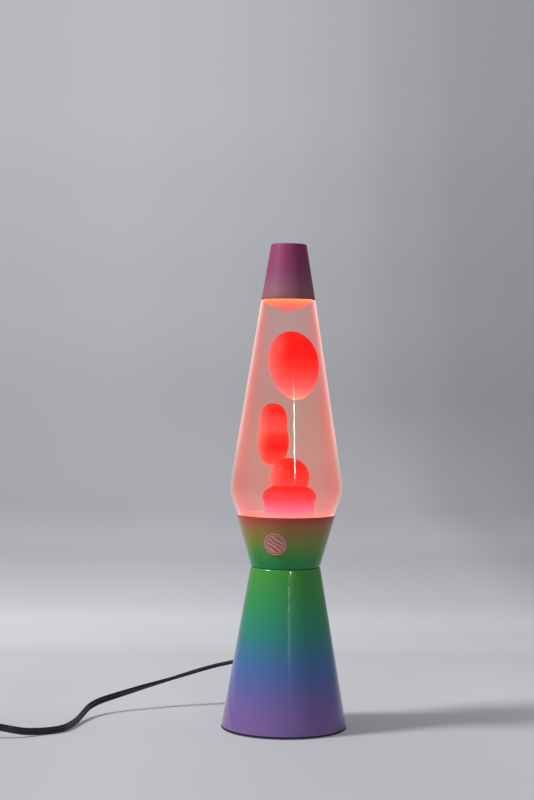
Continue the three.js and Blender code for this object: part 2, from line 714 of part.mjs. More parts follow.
function dome(clearance, flat) {
  const centre = domeTop - DOME_RADIUS;
  const radius = DOME_RADIUS + clearance;
  const lowest = Math.asin((flat - centre) / radius);
  const points = [[0, flat]];
  const rows = 7;
  for (let i = 0; i <= rows; i += 1) {
    const angle = lowest + ((Math.PI / 2 - lowest) * i) / rows;
    points.push([i === rows ? 0 : radius * Math.cos(angle), centre + radius * Math.sin(angle)]);
  }
  return turned(points).translate(MOUND_X, DOME_Y, 0);
}

const lensEdgeRadius = innerShoulderRadius(lensEdge) - 2 * GAP;
const lensDepth = lensEdge - lensBottom;
const lensCurve = (lensEdgeRadius ** 2 + lensDepth ** 2) / (2 * lensDepth);

// The rounded underside of the top wax, from its edge to the axis, moved down by a clearance.
function lensUnderside(clearance, steps = 6) {
  const widest = Math.asin(lensEdgeRadius / lensCurve);
  const radius = lensCurve + clearance;
  return Array.from({ length: steps + 1 }, (_, i) => {
    const angle = (widest * (steps - i)) / steps;
    return [i === steps ? 0 : radius * Math.sin(angle), lensBottom + lensCurve - radius * Math.cos(angle)];
  });
}

function makeLens() {
  return turned([
    ...lensUnderside(0).reverse(),
    [innerShoulderRadius(fillHeight) - 2 * GAP, fillHeight],
    [0, fillHeight],
  ]);
}

// The liquid fills the globe from the pool of wax up to the wax at its top. Two thin channels join the
// pockets round the free blobs to the top surface, because a solid can't have a sealed hollow.
function makeLiquid() {
  const full = turned([...outline(insideCorners(GAP)), ...lensUnderside(GAP)], LARGE_ROUND);
  const bleedOne = disc(BLEED_RADIUS, eggMiddle, lensEdge, CORD_SIDES);
  const bleedTwo = disc(BLEED_RADIUS, (twinLow + twinHigh) / 2, eggMiddle, CORD_SIDES)
    .translate(TWIN_X + TWIN_RADIUS / 2, TWIN_Y - TWIN_RADIUS / 4, 0);
  return cut(full, poolSpace(), mound(GAP), dome(GAP, moundTop - 8),
    upperBlob(GAP), lowerBlob(GAP), bleedOne, bleedTwo);
}

const wax = finish(0xf03030, 0.45);
add('globe_glass', makeGlass(), clearGlass);
add('globe_liquid', makeLiquid(), clearFinish(0xe8a090, 0.05, 0.5));
add('wax_top', makeLens(), wax);
add('wax_upper_blob', upperBlob(0), wax);
add('wax_lower_blob', lowerBlob(0), wax);
add('wax_dome', dome(0, moundTop + GAP), wax);
add('wax_pool', joined(makePoolFloor(), mound(0)), wax);
add('heat_coil', new THREE.TorusGeometry(HEATER_CIRCLE, HEATER_RADIUS, 8, MEDIUM_ROUND)
  .translate(0, 0, innerFloor + 1.5 * GAP + HEATER_RADIUS), zincSteel);

// The closure: a pressed metal cap over the neck, with a soft liner under its top

add('closure_liner', disc(closureRadius - CLOSURE_SHEET - 2 * GAP, linerLow, linerLow + LINER),
  finish(0xe6e2d8, 0.7));
add('closure_cap', turned([
  [0, closureInner],
  [closureRadius - CLOSURE_SHEET, closureInner],
  [closureRadius - CLOSURE_SHEET, closureTop - CLOSURE_HEIGHT],
  [closureRadius, closureTop - CLOSURE_HEIGHT],
  [closureRadius, closureTop - 0.8],
  [closureRadius - 0.8, closureTop],
  [0, closureTop],
]), finish(0xd0cdb8, 0.35, 0.7));

// A round sticker that follows the cup's wall

const stickerHeight = WAIST_HEIGHT + STICKER_RISE;

function makeSticker() {
  const [low, high] = [stickerHeight - STICKER_RADIUS - 3, stickerHeight + STICKER_RADIUS + 3];
  const skin = turned([
    [cupOuter(low) + GAP, low],
    [cupOuter(low) + GAP + STICKER, low],
    [cupOuter(high) + GAP + STICKER, high],
    [cupOuter(high) + GAP, high],
  ], LARGE_ROUND);
  const punch = disc(STICKER_RADIUS, 5, cupOuter(stickerHeight) + 20)
    .rotateX(Math.PI / 2)
    .translate(0, 0, stickerHeight)
    .rotateZ(radians(STICKER_TURN));
  return common(skin, punch);
}

add('round_sticker', makeSticker(), finish(0xb07a78, 0.4));

// The strain relief: a rubber boot through the cone's wall, tapering along the cord

function makeBoot() {
  const seat = GAP;
  const inner = -SHEET - GAP;
  return atExit(turned([
    [0, inner - BOOT_INSIDE],
    [BOOT_FLANGE - 1, inner - BOOT_INSIDE],
    [BOOT_FLANGE - 1, inner - 0.4],
    [BOOT_NECK, inner - 0.4],
    [BOOT_NECK, seat + 0.3],
    [BOOT_FLANGE, seat + 0.3],
    [BOOT_FLANGE, seat + BOOT_FLANGE_THICKNESS],
    [BOOT_RADIUS, seat + BOOT_FLANGE_THICKNESS + 0.6],
    [BOOT_TIP_RADIUS, BOOT_LENGTH],
    [0, BOOT_LENGTH],
  ]));
}

add('strain_relief', makeBoot(), blackRubber);

// A point on the axis of the cord's exit, this far out from the cone's wall.
function alongExit(distance) {
  const reach = coneOuter(EXIT_HEIGHT) + distance * Math.cos(coneLean);
  const turn = radians(EXIT_TURN);
  return [-reach * Math.sin(turn), reach * Math.cos(turn), EXIT_HEIGHT + distance * Math.sin(coneLean)];
}

// Inside the base the lead drops from the boot and rises into the nipple under the socket.
const leadRadius = CORD_WIDTH / 2 - 0.2;
const leadEnd = -SHEET - 2 * GAP - BOOT_INSIDE;
const leadLow = Math.min(EXIT_HEIGHT, nippleBottom) - 12;
add('socket_lead', rod([
  alongExit(leadEnd - 0.1),
  alongExit(leadEnd - 6),
  [-4, 22, leadLow + 4],
  [-2, 13, leadLow],
  [-0.5, 5, leadLow + 2.5],
  [0, 0.8, (leadLow + nippleBottom) / 2 - 1.5],
  [0, 0, nippleBottom - 4],
  [0, 0, nippleTop - 2],
], leadRadius, 20), blackRubber);

// The free cord. Its route is chosen by hand where it isn't wound, and lies on the table where it can.
const cordRadius = CORD_WIDTH / 2;
const onTable = cordRadius + 0.05;
const bootEnd = alongExit(BOOT_LENGTH);
const fromBoot = (x, y, z) => [bootEnd[0] + x, bootEnd[1] + y, z];
const [switchX, switchY] = fromBoot(...SWITCH_PLACE, 0);
const [windingX, windingY] = fromBoot(...WINDING_PLACE, 0);
const [plugX, plugY] = fromBoot(...PLUG_PLACE, 0);
const switchNearEnd = switchX + SWITCH_LENGTH / 2;
const switchFarEnd = switchX - SWITCH_LENGTH / 2;
const windingHalfWidth = (WINDING_ACROSS * (CORD_THICKNESS + TURN_GAP)) / 2;
const windingLow = TIE + GAP;
const windingTop = windingLow + WINDING_LAYERS * (CORD_WIDTH + TURN_GAP);
const upperTurn = windingTop - (CORD_WIDTH + TURN_GAP) / 2;
const besideWinding = windingX - WINDING_MIDDLE - windingHalfWidth - cordRadius - 2 * GAP;
const toSwitch = [
  alongExit(BOOT_LENGTH + GAP),
  alongExit(BOOT_LENGTH + 5),
  fromBoot(-4.4, 12.8, 39.9),
  fromBoot(-11.4, 19.4, 39.2),
  fromBoot(-20, 22.9, 37.3),
  fromBoot(-29.8, 24, 34.8),
  fromBoot(-40.8, 23.9, 32.3),
  fromBoot(-53.3, 22.2, 29),
  fromBoot(-67.8, 18, 25.1),
  fromBoot(-82.8, 12.5, 21.2),
  fromBoot(-96.8, 6, 18),
  fromBoot(-109.8, -1.5, 15),
  fromBoot(-121.8, -9.5, 12.3),
  fromBoot(-131.8, -19, 10.2),
  fromBoot(-138.3, -30, onTable + 5.2),
  fromBoot(-141.8, -43, onTable + 2.5),
  fromBoot(-144.4, -57, onTable + 0.6),
  fromBoot(-147.6, -73, onTable),
  fromBoot(-151.8, -87.5, onTable),
  fromBoot(-158.8, -96, onTable),
  fromBoot(-169.1, -102, onTable + 0.2),
  fromBoot(-178.2, -108.6, onTable + 1.5),
  fromBoot(-186.8, -112.4, onTable + 3.5),
  fromBoot(-195.8, -113.8, 8.1),
  [switchNearEnd + 9, switchY, CORD_IN_SWITCH],
  [switchNearEnd + GAP, switchY, CORD_IN_SWITCH],
];
const toWinding = [
  [switchFarEnd - GAP, switchY, CORD_IN_SWITCH],
  [switchFarEnd - 7, switchY + 0.2, CORD_IN_SWITCH - 0.6],
  fromBoot(-285.6, -111, onTable + 3.4),
  fromBoot(-292.8, -104.4, onTable + 1.6),
  fromBoot(-297, -95, onTable + 0.8),
  fromBoot(-297.4, -85, onTable + 0.7),
  [besideWinding - 3, windingY - 17.6, onTable + 0.7],
  [besideWinding, windingY - 8, onTable + 0.7],
];
const toPlug = [
  [besideWinding, windingY + 8, upperTurn],
  [besideWinding - 1, windingY + 19, upperTurn - 0.6],
  fromBoot(-292.2, -27, onTable + 4.6),
  fromBoot(-290.4, -16, onTable + 4.1),
  [plugX, plugY - 7, PLUG_THICKNESS / 2],
  [plugX, plugY - GAP, PLUG_THICKNESS / 2],
];
const cordBlack = finish(0x0d0d0e, 0.45);
add('cord_to_switch', rod(toSwitch, cordRadius, 48), cordBlack);
add('cord_to_coil', rod(toWinding, cordRadius, 10), cordBlack);
add('cord_to_plug', rod(toPlug, cordRadius, 8), cordBlack);

// The rest of the cord is wound in a neat coil beside the switch and held by a tie.
const [windingInner, windingOuter] = [WINDING_MIDDLE - windingHalfWidth, WINDING_MIDDLE + windingHalfWidth];
add('cord_coil', tube(windingInner, windingOuter, windingLow, windingTop, 36)
  .translate(windingX, windingY, 0), cordBlack);

function makeTie() {
  const reach = windingHalfWidth + GAP;
  const [low, high] = [windingLow - GAP, windingTop + GAP];
  const frame = cut(
    block(-reach - TIE, reach + TIE, -TIE_WIDTH / 2, TIE_WIDTH / 2, low - TIE, high + TIE),
    block(-reach, reach, -TIE_WIDTH, TIE_WIDTH, low, high),
  );
  return atTurn(frame, WINDING_MIDDLE, TIE_TURN).translate(windingX, windingY, 0);
}

add('cord_tie', makeTie(), finish(0x1a1a1c, 0.5));

// The switch in the cord: two half shells and a rocker

const partingLow = CORD_IN_SWITCH - GAP / 2;
const partingHigh = CORD_IN_SWITCH + GAP / 2;
const cordChannel = cordRadius + GAP;

function placeSwitch(geometry) {
  return geometry.translate(switchX, switchY, 0);
}

function channelTool() {
  return rod([
    [-SWITCH_LENGTH, 0, CORD_IN_SWITCH],
    [0, 0, CORD_IN_SWITCH],
    [SWITCH_LENGTH, 0, CORD_IN_SWITCH],
  ], cordChannel, 1);
}

function switchRoom(low, high) {
  const [length, width] = [SWITCH_LENGTH - 4 * SWITCH_WALL, SWITCH_WIDTH - 2 * SWITCH_WALL];
  return pill(length, width, SWITCH_CORNER - SWITCH_WALL, low, high);
}

function makeSwitchBase() {
  const body = pill(SWITCH_LENGTH, SWITCH_WIDTH, SWITCH_CORNER, 0, partingLow);
  return placeSwitch(cut(body, channelTool(), switchRoom(SWITCH_WALL, partingLow + 1)));
}

function makeSwitchCover() {
  const body = pill(SWITCH_LENGTH, SWITCH_WIDTH, SWITCH_CORNER, partingHigh, SWITCH_HEIGHT);
  const [length, width] = [ROCKER_LENGTH + 2 * ROCKER_CLEARANCE, ROCKER_WIDTH + 2 * ROCKER_CLEARANCE];
  const window = block(-length / 2, length / 2, -width / 2, width / 2, partingHigh - 1, SWITCH_HEIGHT + 1);
  const room = switchRoom(partingHigh - 1, SWITCH_HEIGHT - SWITCH_WALL);
  return placeSwitch(cut(body, channelTool(), window, room));
}

// The rocker tips about its pivot, and its top dips towards the middle.
const rockerPivot = SWITCH_HEIGHT - ROCKER_DEPTH / 2;

function makeRocker() {
  const half = ROCKER_LENGTH / 2;
  const low = SWITCH_HEIGHT - ROCKER_DEPTH;
  const top = SWITCH_HEIGHT + ROCKER_PROUD;
  const shape = new THREE.Shape([
    [-half + 2, low],
    [half - 2, low],
    [half - 0.8, low + 1.6],
    [half - 0.8, top - 0.8],
    [half - 1.6, top],
    [0, top - 1.2],
    [-half + 1.6, top],
    [-half + 0.8, top - 0.8],
    [-half + 0.8, low + 1.6],
  ].map(([x, z]) => new THREE.Vector2(x, z)));
  const level = new THREE.ExtrudeGeometry(shape, { depth: ROCKER_WIDTH, bevelEnabled: false })
    .rotateX(Math.PI / 2)
    .translate(0, ROCKER_WIDTH / 2, -rockerPivot)
    .rotateY(radians(ROCKER_TILT))
    .translate(0, 0, rockerPivot);
  return placeSwitch(level);
}

const switchPlastic = finish(0x121213, 0.4);
add('switch_base', makeSwitchBase(), switchPlastic);
add('switch_cover', makeSwitchCover(), switchPlastic);
add('switch_rocker', makeRocker(), finish(0x1d1d1f, 0.3));

// The plug: a moulded body with a tapered tail, and two flat blades set into it

const plugMiddle = PLUG_THICKNESS / 2;
const plugFace = plugY + PLUG_LENGTH;
const bladeTurns = [-1, 1];

function bladeBlock(side, from, to, clearance) {
  const x = plugX + (side * BLADE_SPACING) / 2;
  const [t, w] = [BLADE_THICKNESS / 2 + clearance, BLADE_WIDTH / 2 + clearance];
  return block(x - t, x + t, from, to, plugMiddle - w, plugMiddle + w);
}

function makePlug() {
  const head = pill(PLUG_WIDTH, PLUG_LENGTH - PLUG_TAIL, 5, 0, PLUG_THICKNESS)
    .translate(plugX, plugFace - (PLUG_LENGTH - PLUG_TAIL) / 2, 0);
  const tail = turned([
    [0, 0],
    [3.4, 0],
    [5.2, PLUG_TAIL + 3],
    [0, PLUG_TAIL + 3],
  ], SMALL_ROUND).rotateX(-Math.PI / 2).translate(plugX, plugY, plugMiddle);
  const pockets = bladeTurns.map((side) => bladeBlock(side, plugFace - BLADE_POCKET, plugFace + 1, GAP));
  return cut(joined(head, tail), ...pockets);
}

add('plug_body', makePlug(), finish(0x101011, 0.5));
bladeTurns.forEach((side, i) => {
  const blade = bladeBlock(side, plugFace - BLADE_POCKET + GAP, plugFace + BLADE_LENGTH, 0);
  add(`plug_blade_${i + 1}`, blade, finish(0xc9ccd0, 0.25, 0.95));
});

export default lamp;
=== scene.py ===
"""The visible pieces of a lava lamp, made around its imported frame. Metres, +Z up, front towards -Y."""

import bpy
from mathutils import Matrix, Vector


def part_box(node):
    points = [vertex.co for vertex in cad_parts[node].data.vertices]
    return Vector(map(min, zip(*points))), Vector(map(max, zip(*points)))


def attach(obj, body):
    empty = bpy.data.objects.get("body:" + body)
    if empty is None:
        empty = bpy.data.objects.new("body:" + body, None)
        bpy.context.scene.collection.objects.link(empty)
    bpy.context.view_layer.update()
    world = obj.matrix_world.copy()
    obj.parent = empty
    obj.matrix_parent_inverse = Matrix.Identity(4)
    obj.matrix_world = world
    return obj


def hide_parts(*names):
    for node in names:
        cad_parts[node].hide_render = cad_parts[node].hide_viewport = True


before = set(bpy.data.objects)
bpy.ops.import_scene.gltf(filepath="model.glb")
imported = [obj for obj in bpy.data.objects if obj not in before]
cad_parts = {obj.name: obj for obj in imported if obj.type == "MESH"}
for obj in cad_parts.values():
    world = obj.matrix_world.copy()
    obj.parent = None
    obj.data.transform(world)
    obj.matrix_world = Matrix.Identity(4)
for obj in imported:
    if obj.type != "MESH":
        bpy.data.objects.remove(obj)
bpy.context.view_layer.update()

from math import atan2, cos, hypot, pi, radians, sin, tan

import bmesh
import bpy
import numpy as np
from mathutils import Euler, Quaternion

bl_info = {
    "name": "Lava lamp",
    "version": (1, 0, 0),
    "blender": (4, 5, 0),
    "location": "View3D > Sidebar > Lava lamp",
    "description": "Makes a lava lamp piece by piece, with its cord and a plain studio",
    "category": "Object",
}

MM = 0.001
GAP = 0.3 * MM  # between pieces that touch
COARSE, FINE, SMOOTH = 24, 64, 144  # sides of small, middling and large round pieces
MERGE = 0.0002 * MM  # points closer than this are one point
BULB_PITCH = 2.822 * MM  # of the bulb's screw thread
BOOT_LENGTH = 22 * MM  # out from the cone's wall
EXIT_HEIGHT, EXIT_TURN = 35 * MM, radians(12)  # of the cord's hole, over the table and round from +Y


def srgb(red, green, blue):
    """A colour as the shaders take it, from the 0 to 255 values of a colour picker."""
    share = np.array([red, green, blue]) / 255
    return tuple(float(v) for v in np.where(share < 0.04045, share / 12.92, ((share + 0.055) / 1.055) ** 2.4))


def corners(node):
    """A node's lowest and highest corners at rest."""
    low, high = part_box(node)
    return np.array(low), np.array(high)


def stand(low, high):
    """The middle of a box, set down on the table."""
    return (low + high) / 2 * (1, 1, 0)


# What a user would change


def size(name, description, default):
    kind = {"subtype": "DISTANCE", "unit": "LENGTH", "precision": 4}
    return bpy.props.FloatProperty(name=name, description=description, default=float(default), min=0, **kind)


def colour(name, description, red, green, blue):
    return bpy.props.FloatVectorProperty(
        name=name, description=description, default=srgb(red, green, blue), size=3, min=0, max=1, subtype="COLOR"
    )


def share(name, description, default, high=1.0):
    return bpy.props.FloatProperty(name=name, description=description, default=default, min=0, max=high)


class LavaLampMetal(bpy.types.PropertyGroup):
    """Sizes and colours of the painted cone, cup and cap."""

    base_radius: size("Base radius", "Of the cone's wall, carried down to the table", 47.8 * MM)
    waist_radius: size("Waist radius", "Where the cup stands on the cone", 26.4 * MM)
    waist_height: size("Waist height", "Of the cup's underside over the table", corners("cup")[0][2])
    hole_radius: size("Waist hole radius", "The bulb is changed through it", 19.6 * MM)
    rim_radius: size("Rim radius", "Of the cup's upper edge", corners("cup")[1][0])
    rim_height: size("Rim height", "Of the cup's upper edge", corners("cup")[1][2])
    sheet: size("Sheet", "Thickness of the cone and cup", 0.8 * MM)
    cap_bottom: size("Cap's lower edge", "Its height", corners("top_cap")[0][2])
    cap_top: size("Cap's top", "Its height", corners("top_cap")[1][2])
    cap_bottom_radius: size("Cap's lower radius", "At its open edge", corners("top_cap")[1][0])
    cap_top_radius: size("Cap's upper radius", "At its closed end", 13.4 * MM)
    gloss: share("Gloss", "Roughness of the lacquer", 0.16)
    rim_colour: colour("Rim", "Cup, at its upper edge", 160, 56, 50)
    cup_upper_colour: colour("Cup, upper", "Just under the rim", 152, 100, 60)
    cup_middle_colour: colour("Cup, middle", "Half way down", 112, 126, 54)
    cup_lower_colour: colour("Cup, lower", "Over the waist", 38, 130, 58)
    cup_foot_colour: colour("Cup, foot", "At the waist", 26, 120, 72)
    cone_top_colour: colour("Cone, top", "Under the waist", 66, 136, 52)
    cone_green_colour: colour("Cone, green", "A fifth of the way down", 46, 134, 78)
    cone_teal_colour: colour("Cone, teal", "Under its middle", 44, 126, 104)
    cone_blue_colour: colour("Cone, blue", "Two fifths up from the table", 58, 105, 148)
    cone_violet_colour: colour("Cone, violet", "A quarter up from the table", 80, 93, 154)
    cone_foot_colour: colour("Cone, foot", "At the table", 116, 91, 148)
    cap_top_colour: colour("Cap, top", "At its closed end", 136, 49, 90)
    cap_middle_colour: colour("Cap, middle", "Half way down", 125, 55, 92)
    cap_low_colour: colour("Cap, low", "Over its open edge", 134, 84, 98)
    # Painted shade: a darker brown band at the open edge, where the rolled lip is in shade
    cap_edge_painted_shade_colour: colour("Cap, edge", "At its open edge", 138, 66, 52)


class LavaLampGlobe(bpy.types.PropertyGroup):
    """Sizes and colours of the globe and what is in it."""

    glass: size("Glass", "Thickness of the globe's wall", 2.2 * MM)
    belly_rise: size("Belly", "Height over the globe's underside where its two tapers would meet", 49.4 * MM)
    belly_fillet: size("Belly rounding", "Radius of the belly's rounding", 30 * MM)
    shoulder_rise: size("Shoulder", "Height over the globe's underside of the ledge under the cap", 194.4 * MM)
    shoulder_radius: size("Shoulder radius", "Of that ledge", 20.5 * MM)
    # Painted light: emission on the globe's glass where it is looked along
    painted_edge_glow: share("Edge glow", "Strength of the light that the glass carries to its edges", 1.0, 5)
    # Painted light: emission of the liquid itself
    painted_liquid_glow: share("Liquid glow", "Strength of the light scattered in the liquid", 1.0, 5)
    # Painted light: the wax emits its colours, standing in for the bulb's light through it
    painted_wax_glow: share("Wax glow", "Strength of the light that comes through the wax", 0.79, 5)
    wax_red: colour("Wax, deep", "Where the wax is thick and far from the bulb", 238, 8, 4)
    wax_salmon: colour("Wax, middle", "Between", 255, 102, 104)
    wax_peach: colour("Wax, lit", "Where the bulb shines through it", 255, 186, 156)


class LavaLampCord(bpy.types.PropertyGroup):
    """Sizes of the flat cord and how it is wound."""

    width: size("Width", "Of the flat two-core cord", 5.4 * MM)
    thickness: size("Thickness", "Of the flat two-core cord", 2.8 * MM)
    turn_gap: size("Turn gap", "Between neighbouring turns of the winding", 0.3 * MM)
    winding_radius: size("Winding radius", "At the middle of the turns", 32.4 * MM)
    black: colour("Black", "Of the cord's vinyl", 14, 15, 17)


class LavaLampStudio(bpy.types.PropertyGroup):
    """The plain studio: its colours and lights."""

    floor: colour("Floor", "Of the plain floor", 232, 233, 238)
    key: share("Key", "Power of the small light from the left, in watts", 26.0, 500)
    fill: share("Fill", "Brightness of the room", 0.27, 10)
    # Painted light: the sweep emits its own colour at this strength
    painted_paper_glow: share("Paper glow", "Light on the paper sweep that misses the lamp", 0.25, 10)
    lens: bpy.props.FloatProperty(name="Lens", description="Focal length", default=78.3, min=1, unit="CAMERA")


# Surfaces: each patch is its points, its quads, and a map of shares across and along


def patch(grid, wrap_rows=False, wrap_columns=True):
    """Quads between neighbouring points of a grid of rows and columns, which may close on themselves."""
    rows, columns = grid.shape[:2]
    row, column = np.meshgrid(
        np.arange(rows if wrap_rows else rows - 1), np.arange(columns if wrap_columns else columns - 1), indexing="ij"
    )
    steps = ((0, 0), (0, 1), (1, 1), (1, 0))
    faces = np.stack([((row + i) % rows) * columns + (column + j) % columns for i, j in steps], -1)
    spans = (columns if wrap_columns else columns - 1, rows if wrap_rows else rows - 1)
    shares = np.stack([np.stack([(column + j) / spans[0], (row + i) / spans[1]], -1) for i, j in steps], -2)
    return grid.reshape(-1, 3), faces.reshape(-1, 4), shares.reshape(-1, 2)


def turned(profile, sides=FINE, ripple=None):
    """A profile of radius and height carried round the Z axis, closed into a ring if it is off the axis.

    It runs up the outside, so that faces look outwards. ripple(angle, height) is added to the radius.
    """
    radius, height = np.asarray(profile, dtype=float).T[:, :, None]
    angle = np.linspace(0, 2 * pi, sides, endpoint=False)[None]
    reach = radius + (ripple(angle, height) * (radius > 0) if ripple else 0)
    grid = np.stack([reach * np.cos(angle), reach * np.sin(angle), height + 0 * angle], -1)
    return patch(grid, wrap_rows=radius[0, 0] > 0 or radius[-1, 0] > 0)


def swept(path, section, roll=0.0, up=(0, 0, 1), closed=False):
    """A section carried along a path. Its first axis lies level, across the path, turned by roll; it runs
    counterclockwise seen from the path's far end. Open ends are closed to their middle."""
    path = np.asarray(path, dtype=float)
    tangent = np.roll(path, -1, 0) - np.roll(path, 1, 0) if closed else np.gradient(path, axis=0)
    tangent /= np.linalg.norm(tangent, axis=1, keepdims=True)
    side = np.cross(up, tangent)
    side /= np.linalg.norm(side, axis=1, keepdims=True)
    rise = np.cross(tangent, side)
    turn = np.broadcast_to(roll, len(path))[:, None]
    across = np.cos(turn) * side + np.sin(turn) * rise
    over = np.cos(turn) * rise - np.sin(turn) * side
    section = np.broadcast_to(section, (len(path),) + np.shape(section)[-2:])
    grid = path[:, None] + section[..., :1] * across[:, None] + section[..., 1:] * over[:, None]
    if not closed:
        ends = [np.broadcast_to(path[i], grid[:1].shape) for i in (0, -1)]
        grid = np.concatenate([ends[0], grid, ends[1]])
    return patch(grid, wrap_rows=closed)


def circle(radius, sides=COARSE):
    angle = np.linspace(0, 2 * pi, sides, endpoint=False)
    return radius * np.stack([np.cos(angle), np.sin(angle)], -1)


def rounded_rectangle(length, width, corner, steps):
    """Corner arcs of a rectangle; the straight sides lie between them."""
    quarter = np.linspace(0, pi / 2, steps)
    angle = (quarter[None] + np.arange(4)[:, None] * pi / 2).ravel()
    middle = np.repeat([(1, 1), (-1, 1), (-1, -1), (1, -1)], steps, axis=0)
    centre = middle * (length / 2 - corner, width / 2 - corner)
    return centre + corner * np.stack([np.cos(angle), np.sin(angle)], -1)


def stacked(outlines, heights):
    """Flat outlines at rising heights, joined by a skin and closed to their middle at both ends."""
    grid = np.stack([np.column_stack([o, np.full(len(o), z)]) for o, z in zip(outlines, heights)])
    ends = [np.broadcast_to(grid[i].mean(0), grid[:1].shape) for i in (0, -1)]
    return patch(np.concatenate([ends[0], grid, ends[1]]))


def softened(height, edge, steps=4):
    """Insets and heights that round the lower and upper edges of a stack of that height."""
    angle = np.linspace(0, pi / 2, steps)
    low = np.column_stack([edge * (1 - np.sin(angle)), edge * (1 - np.cos(angle))])
    high = np.column_stack([edge * (1 - np.cos(angle)), height - edge * (1 - np.sin(angle))])
    return np.concatenate([low, high])


def rounded(points, steps=8):
    """A profile from corners (radius, height, fillet): each corner with a fillet becomes an arc."""
    flat = np.array([p[:2] for p in points], dtype=float)
    made = []
    for i, point in enumerate(points):
        fillet = point[2] if len(point) > 2 else 0
        if not fillet:
            made.append(flat[i][None])
            continue
        before, after = flat[i - 1] - flat[i], flat[i + 1] - flat[i]
        before, after = before / hypot(*before), after / hypot(*after)
        half = np.arccos(np.clip(before @ after, -1, 1)) / 2
        middle = (before + after) / hypot(*(before + after))
        centre = flat[i] + middle * fillet / sin(half)
        start = flat[i] + before * fillet / tan(half) - centre
        turn = np.sign(after[0] * before[1] - after[1] * before[0]) * (pi - 2 * half)
        angle = np.linspace(0, turn, steps + 1)
        made.append(
            centre
            + np.outer(np.cos(angle), start)
            + np.outer(np.sin(angle), (-start[1], start[0]))
        )
    return np.concatenate(made)


def bowed(radius, height, start, end, count, rise=None):
    """Points of a profile on an arc round a point of the axis, as angles over the level; rise is its other radius."""
    turn = np.linspace(start, end, count)
    arc = np.column_stack([radius * np.cos(turn), height + (rise or radius) * np.sin(turn)])
    arc[np.abs(np.cos(turn)) < 1e-9, 0] = 0
    return arc


def lens(reach, depth, lowest, count):
    """Points of a shallow bowl from the axis outwards, of a rim radius and a depth."""
    radius = (reach**2 + depth**2) / (2 * depth)
    turn = np.linspace(0, np.arcsin(reach / radius), count)
    return np.column_stack([radius * np.sin(turn), lowest + radius - radius * np.cos(turn)])


def disc(radius, low, high, lower=0, upper=0, steps=4):
    """The profile of a plain disc, with fillets on its lower and upper edges."""
    return rounded([(0, low), (radius, low, lower), (radius, high, upper), (0, high)], steps)


def filled(profile, longest=5 * MM):
    """The same profile with points along its long straight stretches, so that their gloss runs true."""
    made = [profile[:1]]
    for start, end in zip(profile[:-1], profile[1:]):
        pieces = max(1, int(np.ceil(hypot(*(end - start)) / longest)))
        made.append(start + (end - start) * (np.arange(pieces) + 1)[:, None] / pieces)
    return np.concatenate(made)


def smooth_path(points, step):
    """A smooth curve through points, read at even steps: cubic pieces with centripetal knots."""
    points = np.asarray(points, dtype=float)
    padded = np.concatenate([[2 * points[0] - points[1]], points, [2 * points[-1] - points[-2]]])
    knots = np.concatenate([[0], np.cumsum(np.linalg.norm(np.diff(padded, axis=0), axis=1) ** 0.5)])
    slope = np.diff(padded, axis=0) / np.diff(knots)[:, None]
    span = np.diff(knots)[:, None]
    tangent = (slope[:-1] * span[1:] + slope[1:] * span[:-1]) / (span[:-1] + span[1:])
    t = np.linspace(0, 1, 40, endpoint=False)[None, :, None]
    p, q = points[:-1, None], points[1:, None]
    u, v = (tangent[:-1] * span[1:-1])[:, None], (tangent[1:] * span[1:-1])[:, None]
    fine = (2 * t**3 - 3 * t**2 + 1) * p + (t**3 - 2 * t**2 + t) * u + (3 * t**2 - 2 * t**3) * q + (t**3 - t**2) * v
    return even(np.concatenate([fine.reshape(-1, 3), points[-1:]]), step)


def even(path, step):
    """The same path with its points an even step apart."""
    along = np.concatenate([[0], np.cumsum(np.linalg.norm(np.diff(path, axis=0), axis=1))])
    wanted = np.linspace(0, along[-1], max(2, round(along[-1] / step) + 1))
    return np.column_stack([np.interp(wanted, along, path[:, k]) for k in range(3)])


def moved(one, offset=(0, 0, 0), turn=None):
    """A patch turned by a rotation, then moved."""
    points, faces, shares = one
    if turn is not None:
        points = points @ np.array(turn.to_matrix()).T
    return points + np.asarray(offset), faces, shares


def add_piece(name, patches, finishes, body, nodes=(), crease=38, marks=None):
    """One piece from patches: its points at the same place merged, smooth but for edges sharper than crease.

    marks picks each quad's finish, where there is more than one.
    """
    starts = np.cumsum([0] + [len(p[0]) for p in patches])
    points = np.concatenate([p[0] for p in patches])
    faces = np.concatenate([p[1] + start for p, start in zip(patches, starts)])
    shares = np.concatenate([p[2] for p in patches])
    mesh = bpy.data.meshes.new(name)
    mesh.vertices.add(len(points))
    mesh.vertices.foreach_set("co", points.ravel())
    mesh.loops.add(faces.size)
    mesh.loops.foreach_set("vertex_index", faces.ravel().astype(np.int32))
    mesh.polygons.add(len(faces))
    mesh.polygons.foreach_set("loop_start", np.arange(0, faces.size, 4, dtype=np.int32))
    mesh.update(calc_edges=True)
    mesh.uv_layers.new(name="Shares").data.foreach_set("uv", shares.ravel())
    for finish in finishes if isinstance(finishes, (list, tuple)) else [finishes]:
        mesh.materials.append(finish)
    if marks is not None:
        mesh.polygons.foreach_set("material_index", np.asarray(marks, dtype=np.int32))
    soft = bmesh.new()
    soft.from_mesh(mesh)
    bmesh.ops.remove_doubles(soft, verts=soft.verts, dist=MERGE)
    soft.to_mesh(mesh)
    soft.free()
    mesh.validate()
    mesh.shade_smooth()
    mesh.set_sharp_from_angle(angle=radians(crease))
    piece = bpy.data.objects.new(name, mesh)
    bpy.context.scene.collection.objects.link(piece)
    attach(piece, body)
    if nodes:
        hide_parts(*nodes)
    return piece


# Finishes


